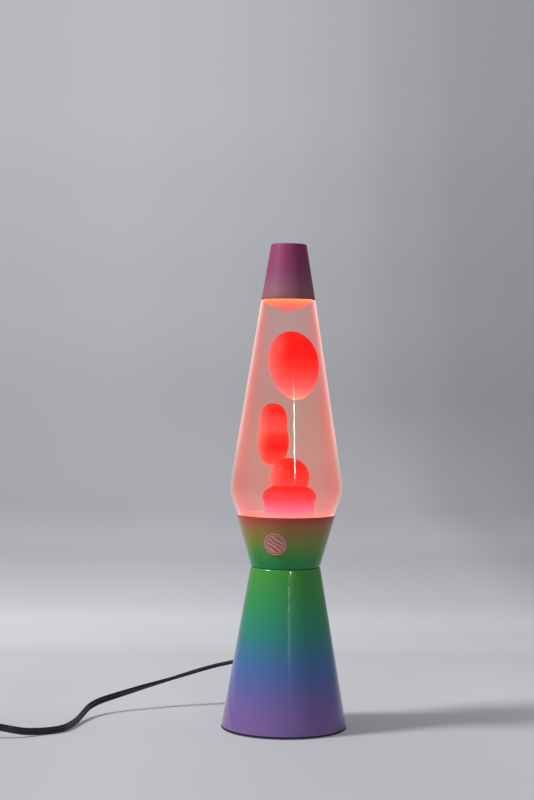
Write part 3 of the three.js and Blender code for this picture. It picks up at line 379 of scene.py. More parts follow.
class Finish:
    """A material being put together from shader nodes."""

    def __init__(self, name):
        self.material = bpy.data.materials.new(name)
        self.material.use_nodes = True
        self.tree = self.material.node_tree
        self.tree.nodes.clear()

    def add(self, kind, inputs=None, **settings):
        """One node. inputs are numbers, colours or the sockets of earlier nodes, by name or place."""
        node = self.tree.nodes.new("ShaderNode" + kind)
        for key, value in settings.items():
            setattr(node, key, value)
        for key, value in (inputs or {}).items():
            socket = node.inputs[key]
            if isinstance(value, bpy.types.NodeSocket):
                self.tree.links.new(value, socket)
            elif socket.type == "RGBA" and len(value) == 3:
                socket.default_value = (*value, 1)
            else:
                socket.default_value = value
        return node

    def place(self, axis=None):
        """The Object coordinates, or one of them."""
        whole = self.add("TexCoord").outputs["Object"]
        return whole if axis is None else self.add("SeparateXYZ", {0: whole}).outputs[axis]

    def noise(self, scale, detail=2.0, stretch=(1, 1, 1)):
        """Soft noise of that many grains a metre, drawn out by stretch."""
        vector = self.add("Mapping", {"Vector": self.place(), "Scale": stretch}).outputs[0]
        return self.add("TexNoise", {"Vector": vector, "Scale": scale, "Detail": detail}).outputs["Fac"]

    def between(self, factor, low, high, out_low=0.0, out_high=1.0):
        """A number moved from one range to another, and held at its ends."""
        inputs = {"Value": factor, "From Min": low, "From Max": high, "To Min": out_low, "To Max": out_high}
        return self.add("MapRange", inputs, clamp=True).outputs[0]

    def math(self, operation, first, second=0.0):
        return self.add("Math", {0: first, 1: second}, operation=operation).outputs[0]

    def ramp(self, factor, stops, interpolation="EASE"):
        """Colours at shares of a factor, blended between."""
        node = self.add("ValToRGB", {"Fac": factor})
        node.color_ramp.interpolation = interpolation
        while len(node.color_ramp.elements) < len(stops):
            node.color_ramp.elements.new(1.0)
        for element, (place, tone) in zip(node.color_ramp.elements, stops):
            element.position = place
            element.color = (*tone, 1)
        return node.outputs["Color"]

    def mix(self, factor, first, second, blend="MIX"):
        """Two colours mixed."""
        node = self.add("Mix", data_type="RGBA", blend_type=blend)
        for socket, value in ((node.inputs[0], factor), (node.inputs[6], first), (node.inputs[7], second)):
            if isinstance(value, bpy.types.NodeSocket):
                self.tree.links.new(value, socket)
            else:
                socket.default_value = value if socket.type == "VALUE" else (*value, 1)
        return node.outputs[2]

    def bump(self, height, distance, strength=1.0):
        return self.add("Bump", {"Height": height, "Distance": distance, "Strength": strength}).outputs[0]

    def done(self, shader):
        self.add("OutputMaterial", {"Surface": shader.outputs[0]})
        return self.material


def varied(tone, factor):
    return tuple(min(1.0, v * factor) for v in tone)


def moulded(name, tone, roughness, grain=2500, height=0.03 * MM, spread=0.25, **inputs):
    """Moulded plastic or rubber: a fine grain, cloudy gloss and slightly uneven colour."""
    f = Finish(name)
    cloud = f.noise(90, 4)
    base = f.mix(cloud, varied(tone, 1 - spread), varied(tone, 1 + spread))
    rough = f.between(f.noise(400, 3), 0.3, 0.7, roughness * 0.85, min(1, roughness * 1.15))
    normal = f.bump(f.noise(grain, 2), height, 0.5)
    sockets = {"Base Color": base, "Roughness": rough, "Normal": normal}
    sockets.update({key.replace("_", " ").title(): value for key, value in inputs.items()})
    return f.done(f.add("BsdfPrincipled", sockets))


def metal(name, tone, roughness, stretch=(1, 1, 18), grain=900, height=0.008 * MM):
    """Worked metal: fine lines drawn round it, with gloss that varies along them."""
    f = Finish(name)
    lines = f.noise(grain, 4, stretch)
    base = f.mix(lines, varied(tone, 0.82), varied(tone, 1.1))
    rough = f.between(lines, 0.3, 0.7, roughness * 0.75, min(1, roughness * 1.3))
    sockets = {"Base Color": base, "Roughness": rough, "Metallic": 1.0, "Normal": f.bump(lines, height, 0.4)}
    return f.done(f.add("BsdfPrincipled", sockets))


def lacquer(name, stops, low, high, gloss, coat=0.17, shine=0.22):
    """Sprayed colours that run into each other by height, under a clear coat with a faint ripple."""
    f = Finish(name)
    drift = f.between(f.noise(26, 2), 0, 1, -0.006, 0.006)
    up = f.math("ADD", f.between(f.place("Z"), low, high), drift)
    mist = f.between(f.noise(3200, 1), 0.3, 0.7, 0.94, 1.06)
    colours = f.ramp(up, stops, "B_SPLINE")
    base = f.mix(1.0, colours, f.add("CombineXYZ", {0: mist, 1: mist, 2: mist}).outputs[0], "MULTIPLY")
    ripple = f.bump(f.noise(500, 2), 0.006 * MM, 0.06)
    rough = f.between(f.noise(60, 3), 0.3, 0.7, gloss * 0.9, gloss * 1.1)
    sockets = {
        "Base Color": base,
        "Roughness": rough,
        "Normal": ripple,
        "Specular IOR Level": shine,
        "Coat Weight": coat,
        "Coat Roughness": 0.05,
    }
    return f.done(f.add("BsdfPrincipled", sockets))


def facing(f):
    """How much a surface is looked along: 0 face on, 1 along it."""
    return f.add("LayerWeight", {"Blend": 0.5}).outputs["Facing"]


def clear(name, tint, glow=None, gloss=0.045):
    """Thin clear glass: a tint, and a gloss and an emitted glow that grow where it is looked along; the globe's glow
    is painted light, the bulb's is its own.

    tint and glow are functions that make their nodes in the finish they are given.
    """
    f = Finish(name)
    streaks = f.between(f.noise(30, 2, (1, 1, 0.2)), 0.3, 0.7, gloss * 0.8, gloss * 1.2)
    through = f.add("BsdfTransparent", {"Color": tint(f)})
    shine = f.add("BsdfGlossy", {"Color": (1, 1, 1), "Roughness": streaks})
    seen = f.math("MULTIPLY", f.math("POWER", facing(f), 6.0), 0.45)
    shader = f.add("MixShader", {0: f.math("ADD", seen, 0.016), 1: through.outputs[0], 2: shine.outputs[0]})
    if glow:
        shader = f.add("AddShader", {0: shader.outputs[0], 1: glow(f).outputs[0]})
    return f.done(shader)


# The painted metal


class LAVA_OT_cone(bpy.types.Operator):
    """The painted cone: a straight wall with a turned-in flange at the waist"""

    bl_idname = "lava_lamp.add_cone"
    bl_label = "Cone"

    def execute(self, context):
        lamp = context.scene.lava_lamp_metal
        low, high = corners("base_cone")[0][2], lamp.waist_height - GAP
        lean = (lamp.base_radius - lamp.waist_radius) / lamp.waist_height
        wall = lamp.sheet * hypot(1, lean)
        outer = lambda z: lamp.base_radius - z * lean
        profile = rounded(
            [
                (outer(low) - wall, low),
                (outer(low), low, 0.35 * MM),
                (outer(high), high, 1.3 * MM),
                (lamp.hole_radius, high),
                (lamp.hole_radius, high - lamp.sheet),
                (outer(high - lamp.sheet) - wall, high - lamp.sheet),
            ]
        )
        stops = (
            (0.0, lamp.cone_foot_colour),
            (0.14, lamp.cone_foot_colour),
            (0.32, lamp.cone_violet_colour),
            (0.47, lamp.cone_blue_colour),
            (0.62, lamp.cone_teal_colour),
            (0.8, lamp.cone_green_colour),
            (0.97, lamp.cone_top_colour),
        )
        paint = lacquer("cone_lacquer", stops, 0.0, lamp.waist_height, lamp.gloss)
        add_piece("cone_shell", [turned(filled(profile), SMOOTH)], paint, "base", ["base_cone"])
        return {"FINISHED"}


class LAVA_OT_cup(bpy.types.Operator):
    """The painted cup: a straight flared wall on a flat floor, with a hole for the bulb"""

    bl_idname = "lava_lamp.add_cup"
    bl_label = "Cup"

    def execute(self, context):
        lamp = context.scene.lava_lamp_metal
        low, high = lamp.waist_height, lamp.rim_height
        lean = (lamp.rim_radius - lamp.waist_radius) / (high - low)
        wall = lamp.sheet * hypot(1, lean)
        profile = rounded(
            [
                (lamp.hole_radius, low),
                (lamp.waist_radius, low, 0.8 * MM),
                (lamp.rim_radius, high, 0.3 * MM),
                (lamp.rim_radius - wall, high, 0.3 * MM),
                (lamp.waist_radius - wall + lamp.sheet * lean, low + lamp.sheet, 0.8 * MM),
                (lamp.hole_radius, low + lamp.sheet),
            ]
        )
        stops = (
            (0.0, lamp.cup_foot_colour),
            (0.24, lamp.cup_lower_colour),
            (0.52, lamp.cup_middle_colour),
            (0.8, lamp.cup_upper_colour),
            (0.97, lamp.rim_colour),
        )
        profile = filled(profile)
        inner = np.arange(len(profile)) > profile[:, 1].argmax()
        paint = lacquer("cup_lacquer", stops, low, high, lamp.gloss)
        add_piece(
            "cup_shell",
            [turned(profile, SMOOTH)],
            [paint, self.lit(low, high)],
            "base",
            ["cup"],
            marks=np.repeat(inner, SMOOTH),
        )
        return {"FINISHED"}

    def lit(self, low, high):
        """The inner face, with the bulb's light on it painted as an emitted glow: brighter towards the bulb."""
        f = Finish("cup_inside_painted_glow")
        up = f.between(f.place("Z"), low, high)
        # Painted light: the glow's colour, brightest at the cup's floor towards the bulb
        light = f.ramp(up, ((0.0, (0.8, 0.6, 0.42)), (0.6, (0.56, 0.42, 0.36)), (1.0, (0.44, 0.42, 0.36))))
        patchy = f.mix(f.noise(60, 2), srgb(176, 118, 108), srgb(196, 138, 124))
        sockets = {
            "Base Color": patchy,
            "Roughness": f.between(f.noise(90, 2), 0.3, 0.7, 0.35, 0.5),
            "Emission Color": light,
            "Emission Strength": 1.0,
        }
        return f.done(f.add("BsdfPrincipled", sockets))


class LAVA_OT_cap(bpy.types.Operator):
    """The painted cap: a tapered wall, closed at its top with a rounded edge"""

    bl_idname = "lava_lamp.add_cap"
    bl_label = "Cap"

    def execute(self, context):
        lamp = context.scene.lava_lamp_metal
        low, high = lamp.cap_bottom, lamp.cap_top
        bottom, top = lamp.cap_bottom_radius, lamp.cap_top_radius
        sheet = 0.7 * MM  # thinner than the cone's and cup's
        profile = rounded(
            [
                (0, high - sheet),
                (top - sheet, high - sheet, 0.6 * MM),
                (bottom - sheet, low, 0.2 * MM),
                (bottom, low, 0.25 * MM),
                (top, high, 1.3 * MM),
                (0, high),
            ]
        )
        stops = (
            # The lowest stop is painted shade of the rolled lip
            (0.0, lamp.cap_edge_painted_shade_colour),
            (0.06, lamp.cap_low_colour),
            (0.22, lamp.cap_low_colour),
            (0.5, lamp.cap_middle_colour),
            (0.95, lamp.cap_top_colour),
        )
        paint = lacquer("cap_lacquer", stops, low, high, 0.5, coat=0.0, shine=0.16)
        add_piece("cap_shell", [turned(filled(profile), SMOOTH)], paint, "cap", ["top_cap"])
        return {"FINISHED"}


class LAVA_OT_rivets(bpy.types.Operator):
    """The four domed rivets round the waist's hole"""

    bl_idname = "lava_lamp.add_rivets"
    bl_label = "Rivets"

    def execute(self, context):
        zinc = metal("rivet_zinc", srgb(184, 188, 192), 0.34, (1, 1, 1), 1500)
        for number in range(1, 5):
            node = f"waist_rivet_{number}"
            low, high = corners(node)
            head, shank, rise = (high[0] - low[0]) / 2, 1.3 * MM, 1.1 * MM
            steps = np.linspace(0, pi / 2, 7)
            dome = np.column_stack([head * np.sin(steps), rise * (1 - np.cos(steps))])
            profile = np.concatenate(
                [
                    dome + (0, low[2]),
                    [(shank, low[2] + rise), (shank, high[2] - rise)],
                    (dome * (1, -1))[::-1] + (0, high[2]),
                ]
            )
            rivet = moved(turned(profile, COARSE), stand(low, high))
            add_piece(f"rivet_{number}", [rivet], zinc, "base", [node])
        return {"FINISHED"}


class LAVA_OT_underside(bpy.types.Operator):
    """The rubber feet, and the finish of the base plate"""

    bl_idname = "lava_lamp.add_underside"
    bl_label = "Underside"

    def execute(self, context):
        plastic = moulded("plate_plastic", srgb(20, 20, 22), 0.5, 1800, 0.05 * MM)
        paint_node("base_plate", plastic)
        rubber = moulded("foot_rubber", srgb(13, 13, 14), 0.75, 3000, 0.05 * MM)
        for number in range(1, 5):
            node = f"foot_{number}"
            low, high = corners(node)
            radius = (high[0] - low[0]) / 2
            profile = rounded(
                [
                    (0, low[2] + 0.25 * MM),
                    (radius * 0.55, low[2] + 0.25 * MM),
                    (radius * 0.62, low[2]),
                    (radius, low[2], 0.4 * MM),
                    (radius, high[2], 0.2 * MM),
                    (0, high[2]),
                ],
                4,
            )
            foot = moved(turned(profile, 32), stand(low, high))
            add_piece(f"rubber_foot_{number}", [foot], rubber, "base", [node])
        return {"FINISHED"}


def paint_node(node, finish):
    """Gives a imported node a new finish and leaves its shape."""
    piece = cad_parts[node]
    piece.data.materials.clear()
    piece.data.materials.append(finish)


# Socket and bulb


def thread(pitch, depth, low, high, hand=1):
    """A ripple for a screw thread: it climbs one pitch a turn and fades at both ends."""

    def ripple(angle, height):
        fade = np.clip(np.minimum(height - low, high - height) / pitch, 0, 1)
        return depth * fade * np.cos(2 * pi * height / pitch - hand * angle)

    return ripple


def wall(radius, low, high, step=0.35 * MM):
    """A straight stretch of a profile in short steps, for a ripple to show."""
    heights = np.linspace(low, high, max(2, round(abs(high - low) / step)))
    return np.column_stack([np.full(len(heights), radius), heights])


class LAVA_OT_socket(bpy.types.Operator):
    """The socket under the waist: its body, threaded sleeve, contact, nipple and hanger"""

    bl_idname = "lava_lamp.add_socket"
    bl_label = "Socket"

    def execute(self, context):
        low, high = corners("socket_body")
        bottom, top, radius = low[2], high[2], high[0]
        grooves = np.linspace(bottom + 4 * MM, bottom + 12 * MM, 5)
        ribs = [
            point
            for z in grooves
            for point in ((radius, z - 0.7 * MM), (radius - 0.5 * MM, z), (radius, z + 0.7 * MM))
        ]
        sleeve_low, sleeve_high = corners("socket_sleeve")
        bore = sleeve_high[0] + GAP
        profile = rounded(
            [
                (0, bottom + 3 * MM),
                (5.1 * MM, bottom + 3 * MM),
                (5.1 * MM, bottom),
                (radius, bottom, 0.8 * MM),
                *ribs,
                (radius, top, 0.8 * MM),
                (bore, top, 0.3 * MM),
                (bore, bottom + 5 * MM),
                (0, bottom + 5 * MM),
            ],
            4,
        )
        phenolic = moulded("socket_phenolic", srgb(30, 26, 24), 0.35, 1200, 0.02 * MM)
        add_piece("socket_housing", [turned(profile)], phenolic, "base", ["socket_body"])
        brass = metal("socket_brass", srgb(188, 146, 70), 0.28)
        sleeve = np.concatenate(
            [
                wall(sleeve_high[0] - 0.2 * MM, sleeve_low[2], sleeve_high[2]),
                wall(sleeve_high[0] - 0.55 * MM, sleeve_high[2], sleeve_low[2]),
            ]
        )
        ripple = thread(BULB_PITCH, 0.15 * MM, sleeve_low[2], sleeve_high[2])
        add_piece(
            "threaded_sleeve", [turned(sleeve, FINE, ripple)], brass, "base", ["socket_sleeve"]
        )
        low, high = corners("socket_contact")
        spring = rounded(
            [
                (0, low[2]),
                (high[0] * 0.98, low[2], 0.2 * MM),
                (high[0] * 0.98, low[2] + 0.8 * MM, 0.3 * MM),
                (2.6 * MM, low[2] + 1.4 * MM),
                (2.2 * MM, high[2], 0.5 * MM),
                (0, high[2]),
            ],
            4,
        )
        add_piece("contact_spring", [turned(spring, COARSE)], brass, "base", ["socket_contact"])
        low, high = corners("socket_nipple")
        outside, inside = high[0] - 0.2 * MM, 3.5 * MM
        tube = np.concatenate([wall(outside, low[2], high[2]), [(inside, high[2]), (inside, low[2])]])
        zinc = metal("hanger_zinc", srgb(176, 180, 184), 0.36, (1, 1, 6), 700)
        ripple = thread(0.94 * MM, 0.15 * MM, low[2], high[2])
        nipple = turned(tube, 48, ripple)
        add_piece("threaded_nipple", [nipple], zinc, "base", ["socket_nipple"])
        paint_node("socket_hanger", zinc)
        paint_node("socket_nut", zinc)
        return {"FINISHED"}


class LAVA_OT_bulb(bpy.types.Operator):
    """The bulb: a round clear glass, a threaded shell, its insulator and contact, and a lit filament"""

    bl_idname = "lava_lamp.add_bulb"
    bl_label = "Bulb"

    def execute(self, context):
        low, high = corners("bulb_glass")
        radius, foot, top = high[0], low[2], high[2]
        centre, neck = top - radius, 8 * MM

        def skin(inset):
            lower = [(neck - inset, foot), (neck - inset, foot + 2 * MM)]
            return np.concatenate([lower, bowed(radius - inset, centre, radians(-50), pi / 2, 40)])

        glass = turned(np.concatenate([skin(0.8 * MM)[::-1], skin(0)]))
        warm = srgb(255, 196, 130)

        def halo(f):
            rim = f.add("LayerWeight", {"Blend": 0.3}).outputs["Facing"]
            strength = f.between(rim, 0, 1, 0.25, 0.9)
            return f.add("Emission", {"Color": warm, "Strength": strength})

        tint = lambda f: f.mix(f.noise(50, 2), (0.99, 0.97, 0.94), (0.97, 0.95, 0.92))
        finish = clear("lit_bulb_glass", tint, halo)
        add_piece("bulb_envelope", [glass], finish, "bulb", ["bulb_glass"])
        low, high = corners("bulb_shell")
        inner, outer = 6.9 * MM, high[0] - 0.35 * MM
        profile = np.concatenate(
            [wall(outer, low[2], high[2]), wall(inner, high[2], low[2], 2 * MM)]
        )
        ripple = thread(BULB_PITCH, 0.33 * MM, low[2], high[2])
        nickel = metal("bulb_nickel", srgb(206, 196, 158), 0.3)
        shell = turned(profile, FINE, ripple)
        add_piece("bulb_thread", [shell], nickel, "bulb", ["bulb_shell"])
        low, high = corners("bulb_insulator")
        profile = rounded(
            [(0, low[2]), (3.4 * MM, low[2], 0.3 * MM), (high[0], high[2], 0.3 * MM), (0, high[2])], 4
        )
        black = moulded("insulator_glass", srgb(14, 14, 16), 0.12, 600, 0.01 * MM)
        insulator = turned(profile, 48)
        add_piece("bulb_insulator_ring", [insulator], black, "bulb", ["bulb_insulator"])
        low, high = corners("bulb_foot_contact")
        solder = moulded("contact_solder", srgb(150, 152, 156), 0.4, 700, 0.04 * MM, metallic=0.8)
        contact = turned(disc(high[0], low[2], high[2], 0.3 * MM), COARSE)
        add_piece("bulb_tip", [contact], solder, "bulb_contact", ["bulb_foot_contact"])
        self.filament()
        return {"FINISHED"}

    def filament(self):
        """A fine coil of wire along an arc between two supports."""
        low, high = corners("bulb_filament")
        reach, top = high[0] - 0.5 * MM, high[2] - 0.8 * MM
        t = np.linspace(0, 1, 700)
        arc = np.column_stack([reach * (2 * t - 1), 0 * t, top - 2.2 * MM * (2 * t - 1) ** 2])
        angle = 2 * pi * 46 * t
        arc += 0.34 * MM * np.column_stack([0 * t, np.cos(angle), np.sin(angle)])
        coil = swept(arc, circle(0.09 * MM, 6), up=(0, 1, 0))
        supports = [
            swept(
                smooth_path(
                    [
                        (s * 2.2 * MM, 0, low[2] + 0.3 * MM),
                        (s * 2.6 * MM, 0, low[2] + 5 * MM),
                        (s * 4.6 * MM, 0, low[2] + 11 * MM),
                        (s * reach, 0, top - 2.2 * MM),
                    ],
                    1 * MM,
                ),
                circle(0.22 * MM, 10),
                up=(0, 1, 0),
            )
            for s in (-1, 1)
        ]
        f = Finish("lit_filament")
        heat = f.between(f.place("X"), -reach, reach)
        tone = f.ramp(heat, ((0, srgb(255, 120, 40)), (0.5, srgb(255, 214, 150)), (1, srgb(255, 120, 40))))
        lit = f.add(
            "BsdfPrincipled",
            {"Base Color": srgb(120, 110, 100), "Emission Color": tone, "Emission Strength": 6.0},
        )
        tungsten = f.done(lit)
        wire = metal("support_wire", srgb(150, 148, 144), 0.3)
        parts = [coil, *supports]
        marks = np.concatenate([np.full(len(p[1]), i > 0) for i, p in enumerate(parts)])
        add_piece(
            "filament", parts, [tungsten, wire], "bulb", ["bulb_filament"], marks=marks
        )


# The globe and what is in it


def globe_walls(context):
    """The globe's measures: heights, radii and the lean of its two tapers."""
    lamp, globe = context.scene.lava_lamp_metal, context.scene.lava_lamp_globe
    low, high = corners("globe_glass")
    bottom = low[2]
    lean = (lamp.rim_radius - lamp.waist_radius) / (lamp.rim_height - lamp.waist_height)
    inside = lambda z: lamp.waist_radius + (z - lamp.waist_height) * lean - lamp.sheet * hypot(1, lean)
    seat, foot = inside(lamp.rim_height) - GAP, inside(bottom) - 3.66 * MM
    lower = (seat - foot) / (lamp.rim_height - bottom)
    belly, shoulder = bottom + globe.belly_rise, bottom + globe.shoulder_rise
    belly_radius = foot + globe.belly_rise * lower
    upper = (belly_radius - globe.shoulder_radius) / (shoulder - belly)
    return {
        "bottom": bottom,
        "top": high[2],
        "foot": foot,
        "lower": lower,
        "belly": belly,
        "belly_radius": belly_radius,
        "shoulder": shoulder,
        "upper": upper,
        "floor": bottom + 3 * MM,
    }


def inner_profile(w, globe, clearance, high):
    """The globe's inside up to a height, moved a clearance inwards from the glass."""
    lower_wall = globe.glass * hypot(1, w["lower"]) + clearance
    upper_wall = globe.glass * hypot(1, w["upper"]) + clearance
    lower = lambda z: w["foot"] + (z - w["bottom"]) * w["lower"] - lower_wall
    upper = lambda z: w["belly_radius"] - (z - w["belly"]) * w["upper"] - upper_wall
    meet = (w["belly_radius"] + w["belly"] * w["upper"] - upper_wall) - (
        w["foot"] - w["bottom"] * w["lower"] - lower_wall
    )
    belly = meet / (w["lower"] + w["upper"])
    floor = w["floor"] + clearance
    return [
        (0, floor),
        (lower(floor), floor, 2.3 * MM),
        (lower(belly), belly, globe.belly_fillet - globe.glass - clearance),
        (upper(high), high),
    ]


class LAVA_OT_globe(bpy.types.Operator):
    """The glass globe: a foot in the cup, a rounded belly, a long taper to a ledge, and a neck"""

    bl_idname = "lava_lamp.add_globe"
    bl_label = "Globe"

    def execute(self, context):
        globe, w = context.scene.lava_lamp_globe, globe_walls(context)
        ledge, neck, bore = w["shoulder"], 12.7 * MM, 9.5 * MM
        straight = ledge + 14.1 * MM
        outside = rounded(
            [
                (0, w["bottom"]),
                (w["foot"], w["bottom"], 4.5 * MM),
                (w["belly_radius"], w["belly"], globe.belly_fillet),
                (globe.shoulder_radius, ledge, 1.2 * MM),
                (globe.shoulder_radius - 1.8 * MM, ledge + 0.1 * MM, 0.5 * MM),
                (neck, straight, 4 * MM),
                (neck, w["top"], 0.6 * MM),
                (bore + 0.6 * MM, w["top"]),
            ],
            24,
        )
        low = ledge - 2.4 * MM
        *lower, last = inner_profile(w, globe, 0, low)
        inside = rounded(
            [*lower, (*last, 3 * MM), (bore, straight - MM, 3 * MM), (bore, w["top"] - 0.6 * MM)], 24
        )
        outside, inside = filled(outside), filled(inside)
        skin = turned(np.concatenate([outside, inside[::-1]]), SMOOTH)
        outer = clear("globe_glass_outside", self.tint, self.carried(w, globe))
        inner = clear_inside("globe_glass_inside")
        marks = np.repeat(np.arange(len(outside) + len(inside) - 1) >= len(outside), SMOOTH)
        add_piece(
            "glass_globe", [skin], [outer, inner], "globe", ["globe_glass"], marks=marks
        )
        return {"FINISHED"}

    def tint(self, f):
        """Rosier where the wall is looked along."""
        return f.ramp(
            facing(f),
            (
                (0.15, (0.985, 0.965, 0.96)),
                (0.45, (0.975, 0.89, 0.885)),
                (0.62, (0.97, 0.9, 0.89)),
                (0.85, (0.92, 0.84, 0.83)),
            ),
        )

    def carried(self, w, globe):
        """Painted edge glow: emitted light standing in for light carried in the wall, seen where the wall is looked
        along: rose, and peach at the very edge.
        """

        def glow(f):
            tone = f.ramp(
                facing(f),
                (
                    (0.2, (0, 0, 0)),
                    (0.36, (0.05, 0, 0)),
                    (0.52, (0.13, 0.01, 0.006)),
                    (0.64, (0.19, 0.04, 0.028)),
                    (0.76, (0.34, 0.13, 0.09)),
                    (1.0, (0.46, 0.19, 0.13)),
                ),
                "LINEAR",
            )
            # Painted light: the glow's strength varies by height, strongest towards the shoulder
            up = f.between(f.place("Z"), w["bottom"], w["shoulder"])
            level = f.ramp(
                up,
                (
                    (0.17, (0.7, 0.7, 0.7)),
                    (0.22, (0.45, 0.45, 0.45)),
                    (0.3, (0.45, 0.45, 0.45)),
                    (0.5, (0.95, 0.9, 0.95)),
                    (0.85, (1.1, 1.1, 1.1)),
                    (1.0, (1.4, 1.6, 1.5)),
                ),
            )
            tone = f.mix(1.0, tone, level, "MULTIPLY")
            return f.add("Emission", {"Color": tone, "Strength": globe.painted_edge_glow})

        return glow


def clear_inside(name):
    """The inner face of glass with liquid against it: no gloss, and a faint unevenness."""
    f = Finish(name)
    tint = f.mix(f.noise(40, 2), (0.975, 0.965, 0.96), (0.99, 0.985, 0.98))
    return f.done(f.add("BsdfTransparent", {"Color": tint}))


class LAVA_OT_liquid(bpy.types.Operator):
    """The clear liquid between the pool of wax and the wax at the top"""

    bl_idname = "lava_lamp.add_liquid"
    bl_label = "Liquid"

    def execute(self, context):
        globe, w = context.scene.lava_lamp_globe, globe_walls(context)
        low, high = corners("globe_liquid")
        walls = rounded(inner_profile(w, globe, GAP, high[2]), 24)
        edge = np.interp(low[2], walls[2:, 1], walls[2:, 0])
        above = walls[walls[:, 1] > low[2] + 0.2 * MM]
        lowest = corners("wax_top")[0][2] - GAP
        under = lens(above[-1, 0], high[2] - lowest, lowest, 14)[::-1][1:]
        profile = np.concatenate([[(0, low[2] + 2 * MM), (edge, low[2])], above, under])
        f = Finish("salmon_liquid_painted_glow")
        drift = f.between(f.noise(22, 2), 0, 1, -2 * MM, 2 * MM)
        up = f.between(f.math("ADD", f.place("Z"), drift), w["bottom"], w["shoulder"])
        # Painted glow: the liquid's emitted colour, brightest low down near the bulb and dimmer towards the top
        tone = f.ramp(
            up,
            (
                (0.17, srgb(142, 60, 56)),
                (0.21, srgb(122, 52, 46)),
                (0.27, srgb(108, 32, 22)),
                (0.36, srgb(106, 36, 28)),
                (0.5, srgb(94, 20, 14)),
                (0.8, srgb(88, 20, 14)),
                (1.0, srgb(62, 26, 24)),
            ),
        )
        tint = f.ramp(
            up,
            (
                (0.17, (0.96, 0.82, 0.79)),
                (0.28, (0.96, 0.82, 0.755)),
                (0.5, (0.965, 0.895, 0.81)),
                (0.85, (0.985, 0.88, 0.85)),
            ),
        )
        through = f.add("BsdfTransparent", {"Color": tint})
        light = f.add("Emission", {"Color": tone, "Strength": globe.painted_liquid_glow})
        finish = f.done(f.add("AddShader", {0: through.outputs[0], 1: light.outputs[0]}))
        add_piece("liquid", [turned(profile, SMOOTH)], finish, "globe", ["globe_liquid"])
        return {"FINISHED"}


def wax(name, globe, low, high, stops, middle=0.0, pale=0.0, reach=20 * MM):
    """Soft wax with a painted glow from within that fades by height, and painted light that makes one side paler.

    stops are the painted glow's colours at shares of the height from low to high; pale is how much paler the
    painted light makes it at reach to the left of its middle.
    """
    f = Finish(name)
    cloud = f.between(f.noise(55, 3), 0, 1, -0.04, 0.04)
    tone = f.ramp(f.math("ADD", f.between(f.place("Z"), low, high), cloud), stops)
    # Painted light: the left side is mixed towards a pale pink, as if lit from the left
    if pale:
        left = f.between(f.place("X"), middle - 0.1 * reach, middle - reach)
        tone = f.mix(f.math("MULTIPLY", f.math("POWER", left, 2.0), pale), tone, srgb(255, 172, 166))
    # Base colour: three quarters deep red, a quarter the painted tone; the emission is the painted glow
    base = f.mix(0.75, tone, srgb(160, 6, 4))
    sockets = {
        "Base Color": base,
        "Roughness": f.between(f.noise(120, 2), 0.3, 0.7, 0.4, 0.55),
        "Specular IOR Level": 0.08,
        "Emission Color": tone,
        "Emission Strength": globe.painted_wax_glow,
        "Normal": f.bump(f.noise(90, 2), 0.1 * MM, 0.25),
    }
    return f.done(f.add("BsdfPrincipled", sockets))


def blob(centre, low, high, width, lean=0.0, rows=56, sides=72):
    """A body round an upright axis, pushed over by lean: its half-width is a function of its share of height."""
    s = (1 - np.cos(np.linspace(0, pi, rows))) / 2
    profile = np.column_stack([width(s), low + s * (high - low)])
    profile[[0, -1], 0] = 0
    points, faces, shares = turned(profile, sides)
    points[:, 0] += lean * (points[:, 2] - (low + high) / 2)
    return moved((points, faces, shares), (*centre, 0))


